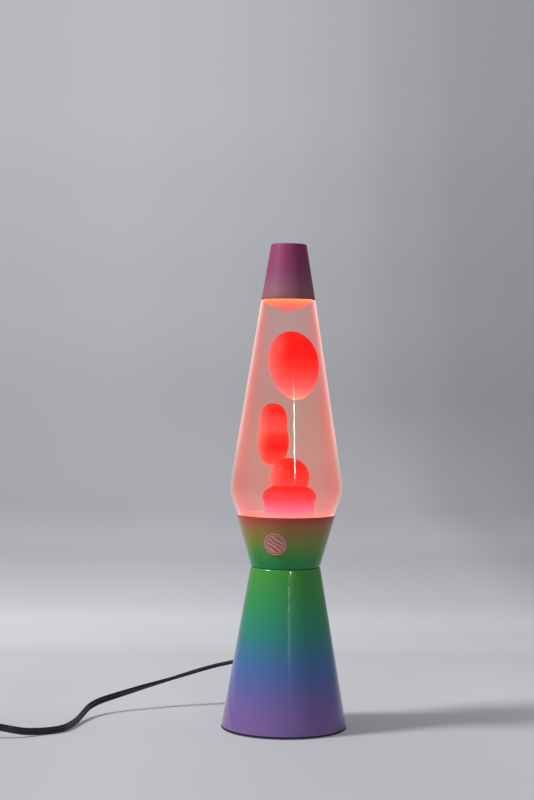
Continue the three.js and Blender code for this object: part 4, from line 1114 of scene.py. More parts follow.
class LAVA_OT_wax(bpy.types.Operator):
    """The wax: a lens at the top, two free blobs, a dome and the mound on its pool"""

    bl_idname = "lava_lamp.add_wax"
    bl_label = "Wax"

    def execute(self, context):
        globe = context.scene.lava_lamp_globe
        w = globe_walls(context)
        red, salmon, peach = globe.wax_red, globe.wax_salmon, globe.wax_peach
        low, high = corners("wax_top")
        edge, rim = 325.2 * MM, 19.0 * MM  # height and radius of the lens where it meets the glass
        under = lens(rim, edge - low[2], low[2], 20)
        profile = np.concatenate([under, [(13.2 * MM, high[2]), (0, high[2])]])
        # Painted glow: pink at the underside shading to orange peach at the top, under the cap
        stops = (
            (0.0, srgb(232, 116, 112)),
            (0.4, srgb(246, 140, 122)),
            (0.75, srgb(255, 168, 112)),
            (1.0, srgb(255, 186, 120)),
        )
        finish = wax("top_wax", globe, low[2], low[2] + 9 * MM, stops)
        add_piece("wax_lens", [turned(profile)], finish, "globe", ["wax_top"])

        low, high = corners("wax_upper_blob")
        middle = ((low + high) / 2)[:2]
        radius = (high[1] - low[1]) / 2
        egg = lambda s: 2 * radius * np.sqrt(s * (1 - s)) * (1 + 0.16 * (s - 0.5))
        # Painted glow: peach at the bottom where the bulb shines through, deepening to red at the top
        stops = (
            (0.0, peach),
            (0.1, srgb(255, 140, 136)),
            (0.22, salmon),
            (0.36, srgb(255, 70, 70)),
            (0.52, srgb(250, 44, 40)),
            (0.66, red),
            (0.84, srgb(228, 8, 5)),
            (1.0, srgb(236, 14, 10)),
        )
        finish = wax("egg_wax", globe, low[2], high[2], stops, middle[0], 0.42)
        shape = blob(middle, low[2], high[2], egg, -0.09)
        add_piece("wax_egg", [shape], finish, "globe", ["wax_upper_blob"])

        low, high = corners("wax_lower_blob")
        middle = ((low + high) / 2)[:2] - (0.9 * MM, 0)
        waist = lambda s: 1 + 0.04 * (0.4 - s) - 0.13 * np.exp(-(((s - 0.6) / 0.15) ** 2))
        twin = lambda s: 12.7 * MM * (4 * s * (1 - s)) ** 0.36 * waist(s)
        # Painted glow: paler at the bottom and in a band above the middle, red between and near the top
        stops = (
            (0.0, srgb(254, 104, 104)),
            (0.16, srgb(250, 62, 58)),
            (0.33, red),
            (0.47, srgb(250, 44, 40)),
            (0.62, srgb(254, 84, 78)),
            (0.76, srgb(254, 76, 72)),
            (0.9, srgb(246, 40, 34)),
        )
        finish = wax("twin_wax", globe, low[2], high[2], stops, middle[0], 0.5, 12 * MM)
        shape = blob(middle, low[2] + 1.2 * MM, high[2] + 2 * MM, twin)
        add_piece("wax_twin", [shape], finish, "globe", ["wax_lower_blob"])

        low, high = corners("wax_dome")
        middle, radius = ((low + high) / 2)[:2] + (0, 1.5 * MM), (high[0] - low[0]) / 2
        arc = bowed(radius, high[2] - radius, radians(-26), pi / 2, 34)
        arc = arc[arc[:, 1] > low[2] - 2.6 * MM]
        under = rounded([(0, low[2]), (0.55 * radius, low[2] - 0.6 * MM), (arc[0, 0], arc[0, 1], 0)])
        # Painted glow: paler pink at the foot, red at the top
        stops = ((0.0, srgb(253, 64, 70)), (0.35, srgb(251, 46, 44)), (0.7, red), (1.0, red))
        finish = wax("dome_wax", globe, low[2], high[2], stops, middle[0], 0.4, 15 * MM)
        dome = moved(turned(np.concatenate([under[:-1], arc])), (*middle, 0))
        add_piece("wax_dome_top", [dome], finish, "globe", ["wax_dome"])
        self.pool(globe, w)
        return {"FINISHED"}

    def pool(self, globe, w):
        """The mound on the pool: its sides flare into the pool, whose underside has the coil's groove."""
        low, high = corners("wax_pool")
        floor, top = low[2], high[2]
        inner = lambda z: w["foot"] + (z - w["bottom"]) * w["lower"] - globe.glass * 1.075 - GAP
        pool_top, middle = w["floor"] + 15 * MM, top - 10.5 * MM
        crown = bowed(20.6 * MM, middle, radians(-20), pi / 2, 30, top - middle)
        groove = floor + 5.5 * MM
        profile = rounded(
            [
                (0, floor),
                (11.6 * MM, floor),
                (11.6 * MM, groove, 1.5 * MM),
                (17.4 * MM, groove, 1.5 * MM),
                (17.4 * MM, floor),
                (inner(floor) - 1 * MM, floor, 1.5 * MM),
                (inner(pool_top), pool_top, 0.6 * MM),
                (21.5 * MM, pool_top + 3 * MM, 5 * MM),
                (19 * MM, pool_top + 14 * MM, 6 * MM),
                *(tuple(point) for point in crown),
            ]
        )
        points, faces, shares = turned(profile)
        lift = np.clip((points[:, 2] - pool_top) / (8 * MM), 0, 1)[:, None]
        points = points + lift * (2.4 * MM, 0, 0)
        # Painted glow from the bulb below: cream at the foot, through pink, to red at the top
        stops = (
            (0.0, srgb(255, 204, 120)),
            (0.2, srgb(254, 160, 160)),
            (0.35, srgb(254, 122, 160)),
            (0.5, srgb(254, 84, 124)),
            (0.66, srgb(253, 56, 76)),
            (0.86, srgb(244, 32, 34)),
            (1.0, srgb(240, 26, 24)),
        )
        finish = wax("mound_wax", globe, w["bottom"] + 25 * MM, top, stops)
        add_piece("wax_mound", [(points, faces, shares)], finish, "globe", ["wax_pool"])


class LAVA_OT_heater(bpy.types.Operator):
    """The heat coil on the globe's floor: a ring of coiled wire"""

    bl_idname = "lava_lamp.add_heater"
    bl_label = "Heat coil"

    def execute(self, context):
        low, high = corners("heat_coil")
        radius, small, middle = high[0] - 2.6 * MM, 2.25 * MM, (low[2] + high[2]) / 2
        t = np.linspace(0, 1, 880, endpoint=False)
        turn, wind = 2 * pi * t, 2 * pi * 44 * t
        reach = radius + small * np.cos(wind)
        path = np.column_stack([reach * np.cos(turn), reach * np.sin(turn), middle + small * np.sin(wind)])
        wire = metal("coil_wire", srgb(150, 152, 156), 0.3, (1, 1, 1), 2000)
        coil = swept(path, circle(0.3 * MM, 8), closed=True)
        add_piece("heat_coil_wire", [coil], wire, "globe", ["heat_coil"])
        return {"FINISHED"}


class LAVA_OT_closure(bpy.types.Operator):
    """The pressed metal closure on the neck, ridged round its skirt, and its liner"""

    bl_idname = "lava_lamp.add_closure"
    bl_label = "Closure"

    def execute(self, context):
        low, high = corners("closure_cap")
        radius, sheet, ridge = high[0] - 0.2 * MM, 0.6 * MM, 0.18 * MM
        profile = np.concatenate(
            [
                rounded(
                    [
                        (0, high[2] - sheet),
                        (radius - sheet, high[2] - sheet, 0.8 * MM),
                        (radius - sheet, low[2]),
                    ],
                    6,
                ),
                wall(radius, low[2], high[2] - 3 * MM, 1.2 * MM),
                rounded(
                    [(radius, high[2] - 2.9 * MM), (radius, high[2], 1.3 * MM), (0, high[2])], 8
                ),
            ]
        )

        def ripple(angle, height):
            skirt = np.clip((high[2] - 3 * MM - height) / MM, 0, 1) * np.clip((height - low[2]) / MM, 0.2, 1)
            return ridge * skirt * np.cos(48 * angle)

        tin = metal("closure_lacquer", srgb(206, 202, 180), 0.3, (1, 1, 1), 500)
        add_piece(
            "closure", [turned(profile, 192, ripple)], tin, "globe", ["closure_cap"]
        )
        low, high = corners("closure_liner")
        profile = disc(high[0], low[2], high[2], 0.15 * MM, 0.15 * MM, 3)
        soft = moulded("liner_foam", srgb(228, 224, 214), 0.7, 1500, 0.05 * MM)
        add_piece("liner", [turned(profile)], soft, "globe", ["closure_liner"])
        return {"FINISHED"}


class LAVA_OT_sticker(bpy.types.Operator):
    """The round sticker, which follows the cup's wall; its print is plain rings about slanting waves"""

    bl_idname = "lava_lamp.add_sticker"
    bl_label = "Sticker"

    def execute(self, context):
        lamp = context.scene.lava_lamp_metal
        low, high = corners("round_sticker")
        radius, middle = (high[2] - low[2]) / 2, (low[2] + high[2]) / 2
        lean = atan2(lamp.rim_radius - lamp.waist_radius, lamp.rim_height - lamp.waist_height)
        turn = radians(-90 - 14.7)
        angle = np.linspace(0, 2 * pi, 96, endpoint=False)[None]
        out = np.array([0, 1, 1, 0.985, 0])[:, None] * radius
        lift = np.array([GAP, GAP, GAP + 0.22 * MM, GAP + 0.28 * MM, GAP + 0.28 * MM])[:, None]
        ring = np.linspace(0.97, 0, 12)[:-1, None] * radius
        out = np.concatenate([out[:4], ring, out[4:]])
        lift = np.concatenate([lift[:4], np.full((len(ring), 1), GAP + 0.28 * MM), lift[4:]])
        across, height = out * np.cos(angle), out * np.sin(angle)
        up = middle + height * cos(lean)
        reach = lamp.waist_radius + (up - lamp.waist_height) * tan(lean) + lift
        round_turn = turn + across / reach
        grid = np.stack([reach * np.cos(round_turn), reach * np.sin(round_turn), up], -1)
        points, faces, _ = patch(grid)
        flat = np.stack([across, height], -1).reshape(-1, 2) / (2 * radius) + 0.5
        print_place = (points, faces, flat[faces.ravel()])
        add_piece(
            "sticker", [print_place], self.printed(lamp), "base", ["round_sticker"], 60
        )
        return {"FINISHED"}

    def printed(self, lamp):
        """Plain rings about a field of slanting waves, in dusty red on pink."""
        f = Finish("sticker_print")
        shares = f.add("UVMap", uv_map="Shares").outputs[0]
        centred = f.add("VectorMath", {0: shares, 1: (0.5, 0.5, 0)}, operation="SUBTRACT").outputs[0]
        radius = f.math("MULTIPLY", f.add("VectorMath", {0: centred}, operation="LENGTH").outputs["Value"], 2)
        parts = f.add("SeparateXYZ", {0: centred}).outputs
        angle = f.math("ARCTAN2", parts[1], parts[0])
        slant = f.math("ADD", f.math("MULTIPLY", parts[0], 22.0), f.math("MULTIPLY", parts[1], 26.0))
        wave = f.math("SINE", f.math("ADD", slant, f.math("MULTIPLY", f.math("SINE", angle), 1.6)))
        pale, red, dusty = srgb(198, 142, 132), srgb(138, 76, 66), srgb(158, 106, 90)
        inner = f.ramp(f.between(wave, -1, 1), ((0.0, red), (0.45, red), (0.62, pale), (1.0, pale)), "LINEAR")
        ring = f.ramp(radius, ((0.0, (0, 0, 0)), (0.66, (0, 0, 0)), (0.68, (1, 1, 1))), "LINEAR")
        rings = ((0.68, red), (0.71, pale), (0.76, pale), (0.78, red), (0.86, red), (0.88, pale))
        border = f.ramp(radius, (*rings, (0.93, pale), (0.96, dusty)), "LINEAR")
        ink = f.mix(ring, inner, border)
        fibre = f.noise(900, 3)
        base = f.mix(f.between(fibre, 0, 1, 0.0, 0.18), ink, srgb(170, 120, 112))
        sockets = {"Base Color": base, "Roughness": 0.38, "Normal": f.bump(fibre, 0.01 * MM, 0.3)}
        return f.done(f.add("BsdfPrincipled", sockets))


# The cord, and what is on it


def cord_exit(context, distance):
    """A point on the axis of the cord's hole in the cone, this far out from the wall."""
    lamp = context.scene.lava_lamp_metal
    lean = atan2(lamp.base_radius - lamp.waist_radius, lamp.waist_height)
    reach = lamp.base_radius - EXIT_HEIGHT * tan(lean) + distance * cos(lean)
    return np.array([-reach * sin(EXIT_TURN), reach * cos(EXIT_TURN), EXIT_HEIGHT + distance * sin(lean)])


def along_exit(context):
    """Turns a piece made along +Z so that it points out of the cord's hole."""
    lamp = context.scene.lava_lamp_metal
    lean = atan2(lamp.base_radius - lamp.waist_radius, lamp.waist_height)
    return Euler((lean - pi / 2, 0, EXIT_TURN))


def switch_place():
    """The middle of the switch, on the table, and where its ends are along X."""
    low, high = corners("switch_base")
    return stand(low, high), low[0], high[0]


def winding_place():
    low, high = corners("cord_coil")
    return stand(low, high), low[2], high[2]


def plug_place():
    """Where the cord goes into the plug, and the plug's thickness."""
    low, high = corners("plug_body")
    return np.array([(low[0] + high[0]) / 2, low[1], (low[2] + high[2]) / 2]), high[1] - low[1]


def winding(context):
    """Six turns, three side by side in two layers.

    u counts turns. A turn keeps its radius and its layer but for its last seventh, where it crosses to the
    next place; while it climbs to the upper layer it also swings a little inwards, past the turn beside it.
    """
    c = context.scene.lava_lamp_cord
    middle, low, high = winding_place()
    pitch, leave = c.thickness + c.turn_gap, 0.053
    u = np.linspace(leave, 6 - leave, 6 * 48)
    step = lambda start: (1 - np.cos(pi * np.clip((u - start) / 0.15, 0, 1))) / 2
    inwards = step(0.85) + step(1.85) - step(3.85) - step(4.85)
    climb = step(2.85)
    swing = 1.7 * MM * np.sin(pi * np.clip((u - 2.78) / 0.28, 0, 1)) ** 2
    radius = c.winding_radius + pitch * (1 - inwards) - swing
    height = low + (c.width + c.turn_gap) * (0.5 + climb)
    turn = pi - 2 * pi * u
    return middle + np.column_stack([radius * np.cos(turn), radius * np.sin(turn), height])


def cord_path(context):
    """From inside the boot, over and down to the table, through the switch, round the winding and to the plug."""
    c = context.scene.lava_lamp_cord
    table = c.width / 2 + 0.05 * MM
    tip = cord_exit(context, BOOT_LENGTH)
    tip = np.array([tip[0], tip[1], 0])
    (switch, far, near), (plug, _) = switch_place(), plug_place()
    level = 9 * MM
    wound = winding(context)
    lay = lambda points: [tip + np.array(p) * MM for p in points]
    on = lambda points: [tip + np.array((x, y, table / MM + z)) * MM for x, y, z in points]
    out = [cord_exit(context, d * MM) for d in (16, 22, 27)] + lay(
        [
            (-4.4, 12.8, 39.9),
            (-11.4, 19.4, 39.2),
            (-20, 22.9, 37.3),
            (-29.8, 24, 34.8),
            (-40.8, 23.9, 32.3),
            (-53.3, 22.2, 29),
            (-67.8, 18, 25.1),
            (-82.8, 12.5, 21.2),
            (-96.8, 6, 18),
            (-109.8, -1.5, 15),
            (-121.8, -9.5, 12.3),
            (-131.8, -19, 10.2),
        ]
    )
    out += on(
        [
            (-138.3, -30, 5.2),
            (-141.8, -43, 2.5),
            (-144.4, -57, 0.6),
            (-147.6, -73, 0),
            (-151.8, -87.5, 0),
            (-158.8, -96, 0),
            (-169.1, -102, 0.2),
            (-178.2, -108.6, 1.5),
            (-186.8, -112.4, 3.5),
            (-195.8, -113.8, 5.4),
        ]
    )
    through = [
        (near + 9 * MM, switch[1], level),
        (near, switch[1], level),
        (switch[0], switch[1], level),
        (far, switch[1], level),
        (far - 7 * MM, switch[1] + 0.2 * MM, level - 0.6 * MM),
    ]
    to_winding = on([(-285.6, -111, 3.4), (-292.8, -104.4, 1.6), (-297, -95, 0.8), (-297.4, -85, 0.7)])
    to_winding += on([(-295.2, -74.6, 0.8), (-292, -65, 0.9)])
    to_plug = on([(-292.2, -49, 6.5), (-293, -38, 5.8), (-292.2, -27, 4.6), (-290.4, -16, 4.1)])
    end = [plug - (0, 7 * MM, 0), plug, plug + (0, 8 * MM, 0)]
    return smooth_path([*out, *through, *to_winding, *wound, *to_plug, *end], 2.4 * MM)


def flat_section(width, thickness):
    """Two round cores side by side, joined by a web: an arc on each side of the middle."""
    radius = thickness / 2
    away = width / 2 - radius
    web = np.arcsin(0.55)
    angle = np.linspace(web - pi, pi - web, 11)
    arc = np.column_stack([away + radius * np.cos(angle), radius * np.sin(angle)])
    return np.concatenate([arc, -arc])


class LAVA_OT_cord(bpy.types.Operator):
    """The flat cord from the boot to the plug: it lies flat where it leaves, and stands on edge on the table"""

    bl_idname = "lava_lamp.add_cord"
    bl_label = "Cord"

    def execute(self, context):
        c = context.scene.lava_lamp_cord
        path = cord_path(context)
        along = np.concatenate([[0], np.cumsum(np.linalg.norm(np.diff(path, axis=0), axis=1))])
        turned_share = np.clip((along - 70 * MM) / (110 * MM), 0, 1)
        roll = turned_share**2 * (3 - 2 * turned_share) * pi / 2
        vinyl = moulded("cord_vinyl", c.black, 0.36, 1600, 0.03 * MM)
        tube = swept(path, flat_section(c.width, c.thickness), roll)
        nodes = ["cord_to_switch", "cord_to_coil", "cord_to_plug", "cord_coil"]
        cord = add_piece("mains_cord", [tube], vinyl, "base", nodes, 60)
        cord_exit(context, 22 * MM)
        return {"FINISHED"}


class LAVA_OT_boot(bpy.types.Operator):
    """The rubber boot in the cone's wall, ribbed along its taper, and the lead from it up to the socket"""

    bl_idname = "lava_lamp.add_boot"
    bl_label = "Strain relief"

    def execute(self, context):
        lamp = context.scene.lava_lamp_metal
        inner = -lamp.sheet - GAP
        flange, thick, tip, length = 6.5 * MM, 1.7 * MM, 3.5 * MM, BOOT_LENGTH
        ribs = []
        for i, d in enumerate(np.linspace(4, 19, 7) * MM):
            reach = 4.6 * MM - (d - thick) / (length - thick) * 1.0 * MM
            ribs += [
                (reach, d - 0.75 * MM, 0.2 * MM),
                (reach - 0.7 * MM, d - 0.6 * MM, 0.2 * MM),
                (reach - 0.7 * MM, d + 0.45 * MM, 0.2 * MM),
                (reach - 0.1 * MM, d + 0.6 * MM, 0.2 * MM),
            ]
        profile = rounded(
            [
                (0, inner - 5 * MM),
                (flange - MM, inner - 5 * MM, 0.8 * MM),
                (flange - MM, inner - 0.4 * MM, 0.2 * MM),
                (4 * MM, inner - 0.4 * MM),
                (4 * MM, GAP + 0.3 * MM),
                (flange, GAP + 0.3 * MM, 0.2 * MM),
                (flange, thick, 0.5 * MM),
                (4.9 * MM, thick + 0.4 * MM, 0.4 * MM),
                *ribs,
                (tip, length, 0.5 * MM),
                (0, length),
            ],
            4,
        )
        boot = moved(turned(profile, 40), cord_exit(context, 0), along_exit(context))
        rubber = moulded("boot_rubber", srgb(17, 17, 19), 0.55, 2200, 0.05 * MM)
        add_piece("cord_boot", [boot], rubber, "base", ["strain_relief"])
        low, high = corners("socket_nipple")
        start = -lamp.sheet - 2 * GAP - 5 * MM
        points = [
            cord_exit(context, start - 0.1 * MM),
            cord_exit(context, start - 6 * MM),
            *(np.array(p) * MM for p in ((-4, 22, 27), (-2, 13, 23), (-0.5, 5, 25.5), (0, 0.8, 33))),
            (0, 0, low[2] - 4 * MM),
            (0, 0, high[2] - 2 * MM),
        ]
        lead = swept(smooth_path(points, 1.5 * MM), circle(2.5 * MM, 20), up=(1, 0, 0))
        vinyl = moulded("lead_vinyl", srgb(20, 20, 22), 0.4, 1600, 0.03 * MM)
        add_piece("socket_cord", [lead], vinyl, "base", ["socket_lead"])
        return {"FINISHED"}


def slab(length, width, corner, low, high, edges, steps=5):
    """A rounded block whose lower and upper edges are rounded by edges, from its foot to its top."""
    insets = np.concatenate([softened(high - low, e)[i * 4:(i + 1) * 4] for i, e in enumerate(edges)])
    outlines = []
    for inset, _ in insets:
        outlines.append(rounded_rectangle(length - 2 * inset, width - 2 * inset, corner - inset, steps))
    return stacked(outlines, low + insets[:, 1])


class LAVA_OT_switch(bpy.types.Operator):
    """The switch in the cord: two half shells with a well for the rocker, and the rocker"""

    bl_idname = "lava_lamp.add_switch"
    bl_label = "Cord switch"

    def execute(self, context):
        place, far, near = switch_place()
        length, width, corner = near - far, 24 * MM, 9 * MM
        plastic = moulded("switch_plastic", srgb(18, 18, 20), 0.38, 1500, 0.05 * MM)
        low, high = corners("switch_base")
        base = slab(length, width, corner, low[2], high[2], (1.6 * MM, 0.35 * MM))
        add_piece(
            "switch_lower_shell", [moved(base, place)], plastic, "base", ["switch_base"]
        )
        low, high = corners("switch_cover")
        well = (19.2 * MM, 10.2 * MM)
        at = lambda outline, z: np.column_stack([outline, np.full(len(outline), z)])
        grip = []
        rise = softened(high[2] - low[2], 2.6 * MM, 7)[7:]
        for inset, height in np.concatenate([softened(high[2] - low[2], 0.35 * MM)[:4], rise]):
            outline = rounded_rectangle(length - 2 * inset, width - 2 * inset, corner - inset, 7)
            grip.append(at(outline, low[2] + height))
        for inset, height in ((-0.5 * MM, 0), (-0.15 * MM, -0.15 * MM), (0, -0.5 * MM), (0, -5 * MM)):
            outline = rounded_rectangle(well[0] - 2 * inset, well[1] - 2 * inset, 0.8 * MM, 7)
            grip.append(at(outline, high[2] + height))
        floor = np.tile(grip[-1].mean(0), (28, 1))
        under = np.tile((0, 0, low[2]), (28, 1))
        cover = patch(np.stack([under, *grip, floor]))
        add_piece(
            "switch_upper_shell", [moved(cover, place)], plastic, "base", ["switch_cover"]
        )
        self.rocker(place, high[2])
        return {"FINISHED"}

    def rocker(self, place, top):
        """A key whose top dips towards its middle: its outline in X and Z, carried across Y with eased ends."""
        half, proud, depth, width = 9 * MM, 2.4 * MM, 4.4 * MM, 9 * MM
        pivot = top - depth / 2
        wide = half - 0.8 * MM
        x = np.linspace(wide - 0.8 * MM, -wide + 0.8 * MM, 15)
        dip = 1.2 * MM * (1 - (x / wide) ** 2)
        crown = np.column_stack([x, top + proud - dip])
        outline = np.concatenate(
            [
                [(-half + 2 * MM, top - depth), (half - 2 * MM, top - depth), (wide, top - depth + 1.6 * MM)],
                [(wide, top + proud - 0.8 * MM), (wide - 0.25 * MM, top + proud - 0.2 * MM)],
                crown,
                [(-wide + 0.25 * MM, top + proud - 0.2 * MM), (-wide, top + proud - 0.8 * MM)],
                [(-wide, top - depth + 1.6 * MM)],
            ]
        )
        middle = outline.mean(0)
        rings = []
        for y, inset in ((1, 0.5), (1, 0.15), (0.93, 0), (-0.93, 0), (-1, 0.15), (-1, 0.5)):
            eased = middle + (outline - middle) * (1 - inset * MM / half)
            rings.append(np.column_stack([eased[:, 0], np.full(len(eased), y * width / 2), eased[:, 1]]))
        ends = [np.tile(ring.mean(0), (len(outline), 1)) for ring in (rings[0], rings[-1])]
        key = patch(np.stack([ends[0], *rings, ends[1]]))
        tilt = Euler((0, radians(7), 0))
        key = moved(moved(key, (0, 0, -pivot)), place + (0, 0, pivot), tilt)
        plastic = moulded("rocker_plastic", srgb(26, 26, 28), 0.24, 900, 0.02 * MM)
        add_piece("switch_rocker_key", [key], plastic, "rocker", ["switch_rocker"])


class LAVA_OT_plug(bpy.types.Operator):
    """The moulded plug with its grip and tapered tail, and its two flat blades"""

    bl_idname = "lava_lamp.add_plug"
    bl_label = "Plug"

    def execute(self, context):
        start, length = plug_place()
        width, thick, tail = 23 * MM, 14 * MM, 18 * MM
        d = np.concatenate(
            [[0, 0.3, 1.2], np.linspace(3, 15, 25), [16.5, 18, 19.5, 21], np.linspace(23, 42.5, 14), [43.6, 44]]
        ) * MM
        flare = np.clip((d - 13 * MM) / (9 * MM), 0, 1)
        flare = flare * flare * (3 - 2 * flare)
        eased = np.sqrt(np.clip(1 - ((d - length + 1.4 * MM) / (1.4 * MM)).clip(0, 1) ** 2, 0.05, 1))
        rib = 0.45 * MM * np.maximum(0, np.sin(2 * pi * (d - 3 * MM) / (3 * MM))) * (d < 15.1 * MM) * (d > 2.9 * MM)
        tip = np.interp(d, [0, tail], [3.2 * MM, 5.0 * MM]) + rib
        waist = 1 - 0.12 * np.exp(-(((d - 31 * MM) / (7 * MM)) ** 2))
        across = tip + flare * (width / 2 - tip)
        across = across * np.where(flare > 0.99, waist, 1) - (1 - eased) * 1.4 * MM
        over = tip + flare * (thick / 2 - tip) - (1 - eased) * 1.4 * MM
        power = 2 / (2 + 2.4 * flare)[:, None]
        angle = np.linspace(0, 2 * pi, 56, endpoint=False)[None]
        x = across[:, None] * np.sign(np.cos(angle)) * np.abs(np.cos(angle)) ** power
        z = over[:, None] * np.sign(np.sin(angle)) * np.abs(np.sin(angle)) ** power
        grid = np.stack([-x, np.broadcast_to(d[:, None], x.shape), z], -1)
        ends = [np.tile(row.mean(0), (1, grid.shape[1], 1)) for row in (grid[0], grid[-1])]
        body = moved(patch(np.concatenate([ends[0], grid, ends[1]])), start)
        vinyl = moulded("plug_vinyl", srgb(17, 17, 19), 0.5, 1500, 0.06 * MM)
        add_piece("plug_moulding", [body], vinyl, "base", ["plug_body"], 50)
        metalwork = metal("blade_nickel", srgb(206, 206, 204), 0.22, (1, 1, 14), 900)
        blades = [self.blade(f"plug_blade_{side}") for side in (1, 2)]
        add_piece("plug_blades", blades, metalwork, "base", ["plug_blade_1", "plug_blade_2"])
        return {"FINISHED"}

    def blade(self, node):
        """A flat blade along Y with a rounded end and a round hole: an outline and a hole, joined on both faces."""
        low, high = corners(node)
        half, reach, thick = (high[2] - low[2]) / 2, high[1] - low[1], high[0] - low[0]
        hole, place = 1.6 * MM, reach - 4.6 * MM
        angle = np.linspace(0, 2 * pi, 72, endpoint=False)
        ray = np.column_stack([np.cos(angle), np.sin(angle)])
        across = half / np.maximum(np.abs(ray[:, 1]), 1e-9)
        ahead = np.where(ray[:, 0] > 0, (reach - place) / np.maximum(ray[:, 0], 1e-9), 1)
        behind = np.where(ray[:, 0] < 0, place / np.maximum(-ray[:, 0], 1e-9), 1)
        span = np.minimum(across, np.where(ray[:, 0] > 0, ahead, behind))
        outer = ray * span[:, None] + (place, 0)
        nose = np.maximum(outer[:, 0] - (reach - 2.2 * MM), 0) / (2.2 * MM)
        outer[:, 1] *= 1 - 0.45 * nose**2
        inner = ray * hole + (place, 0)
        side = thick / 2
        rings = [(inner, -side), (outer, -side), (outer, side), (inner, side)]
        grid = np.stack([np.column_stack([np.full(72, x), flat[:, 0], flat[:, 1]]) for flat, x in rings])
        points, faces, shares = patch(grid, wrap_rows=True)
        offset = ((low[0] + high[0]) / 2, low[1], (low[2] + high[2]) / 2)
        return points + offset, faces, shares


class LAVA_OT_tie(bpy.types.Operator):
    """The plastic tie round the winding"""

    bl_idname = "lava_lamp.add_tie"
    bl_label = "Tie"

    def execute(self, context):
        c = context.scene.lava_lamp_cord
        middle, low, high = winding_place()
        reach = 1.5 * (c.thickness + c.turn_gap) + GAP
        thick, wide, turn = 0.5 * MM, 4 * MM, radians(-60)
        centre = np.array([0, 0, (low + high) / 2])
        loop = rounded_rectangle(2 * reach + thick, high - low + 2 * GAP + thick, 1.6 * MM, 7)
        path = np.column_stack([loop[:, 0], 0 * loop[:, 0], loop[:, 1]]) + centre
        section = rounded_rectangle(thick, wide, 0.2 * MM, 3)
        band = swept(path, section, up=(0, 1, 0), closed=True)
        spot = middle + c.winding_radius * np.array([cos(turn), sin(turn), 0])
        band = moved(band, spot, Euler((0, 0, turn)))
        plastic = moulded("tie_plastic", srgb(30, 30, 32), 0.4, 900, 0.02 * MM)
        add_piece("cord_tie_loop", [band], plastic, "base", ["cord_tie"], 50)
        return {"FINISHED"}


# The studio


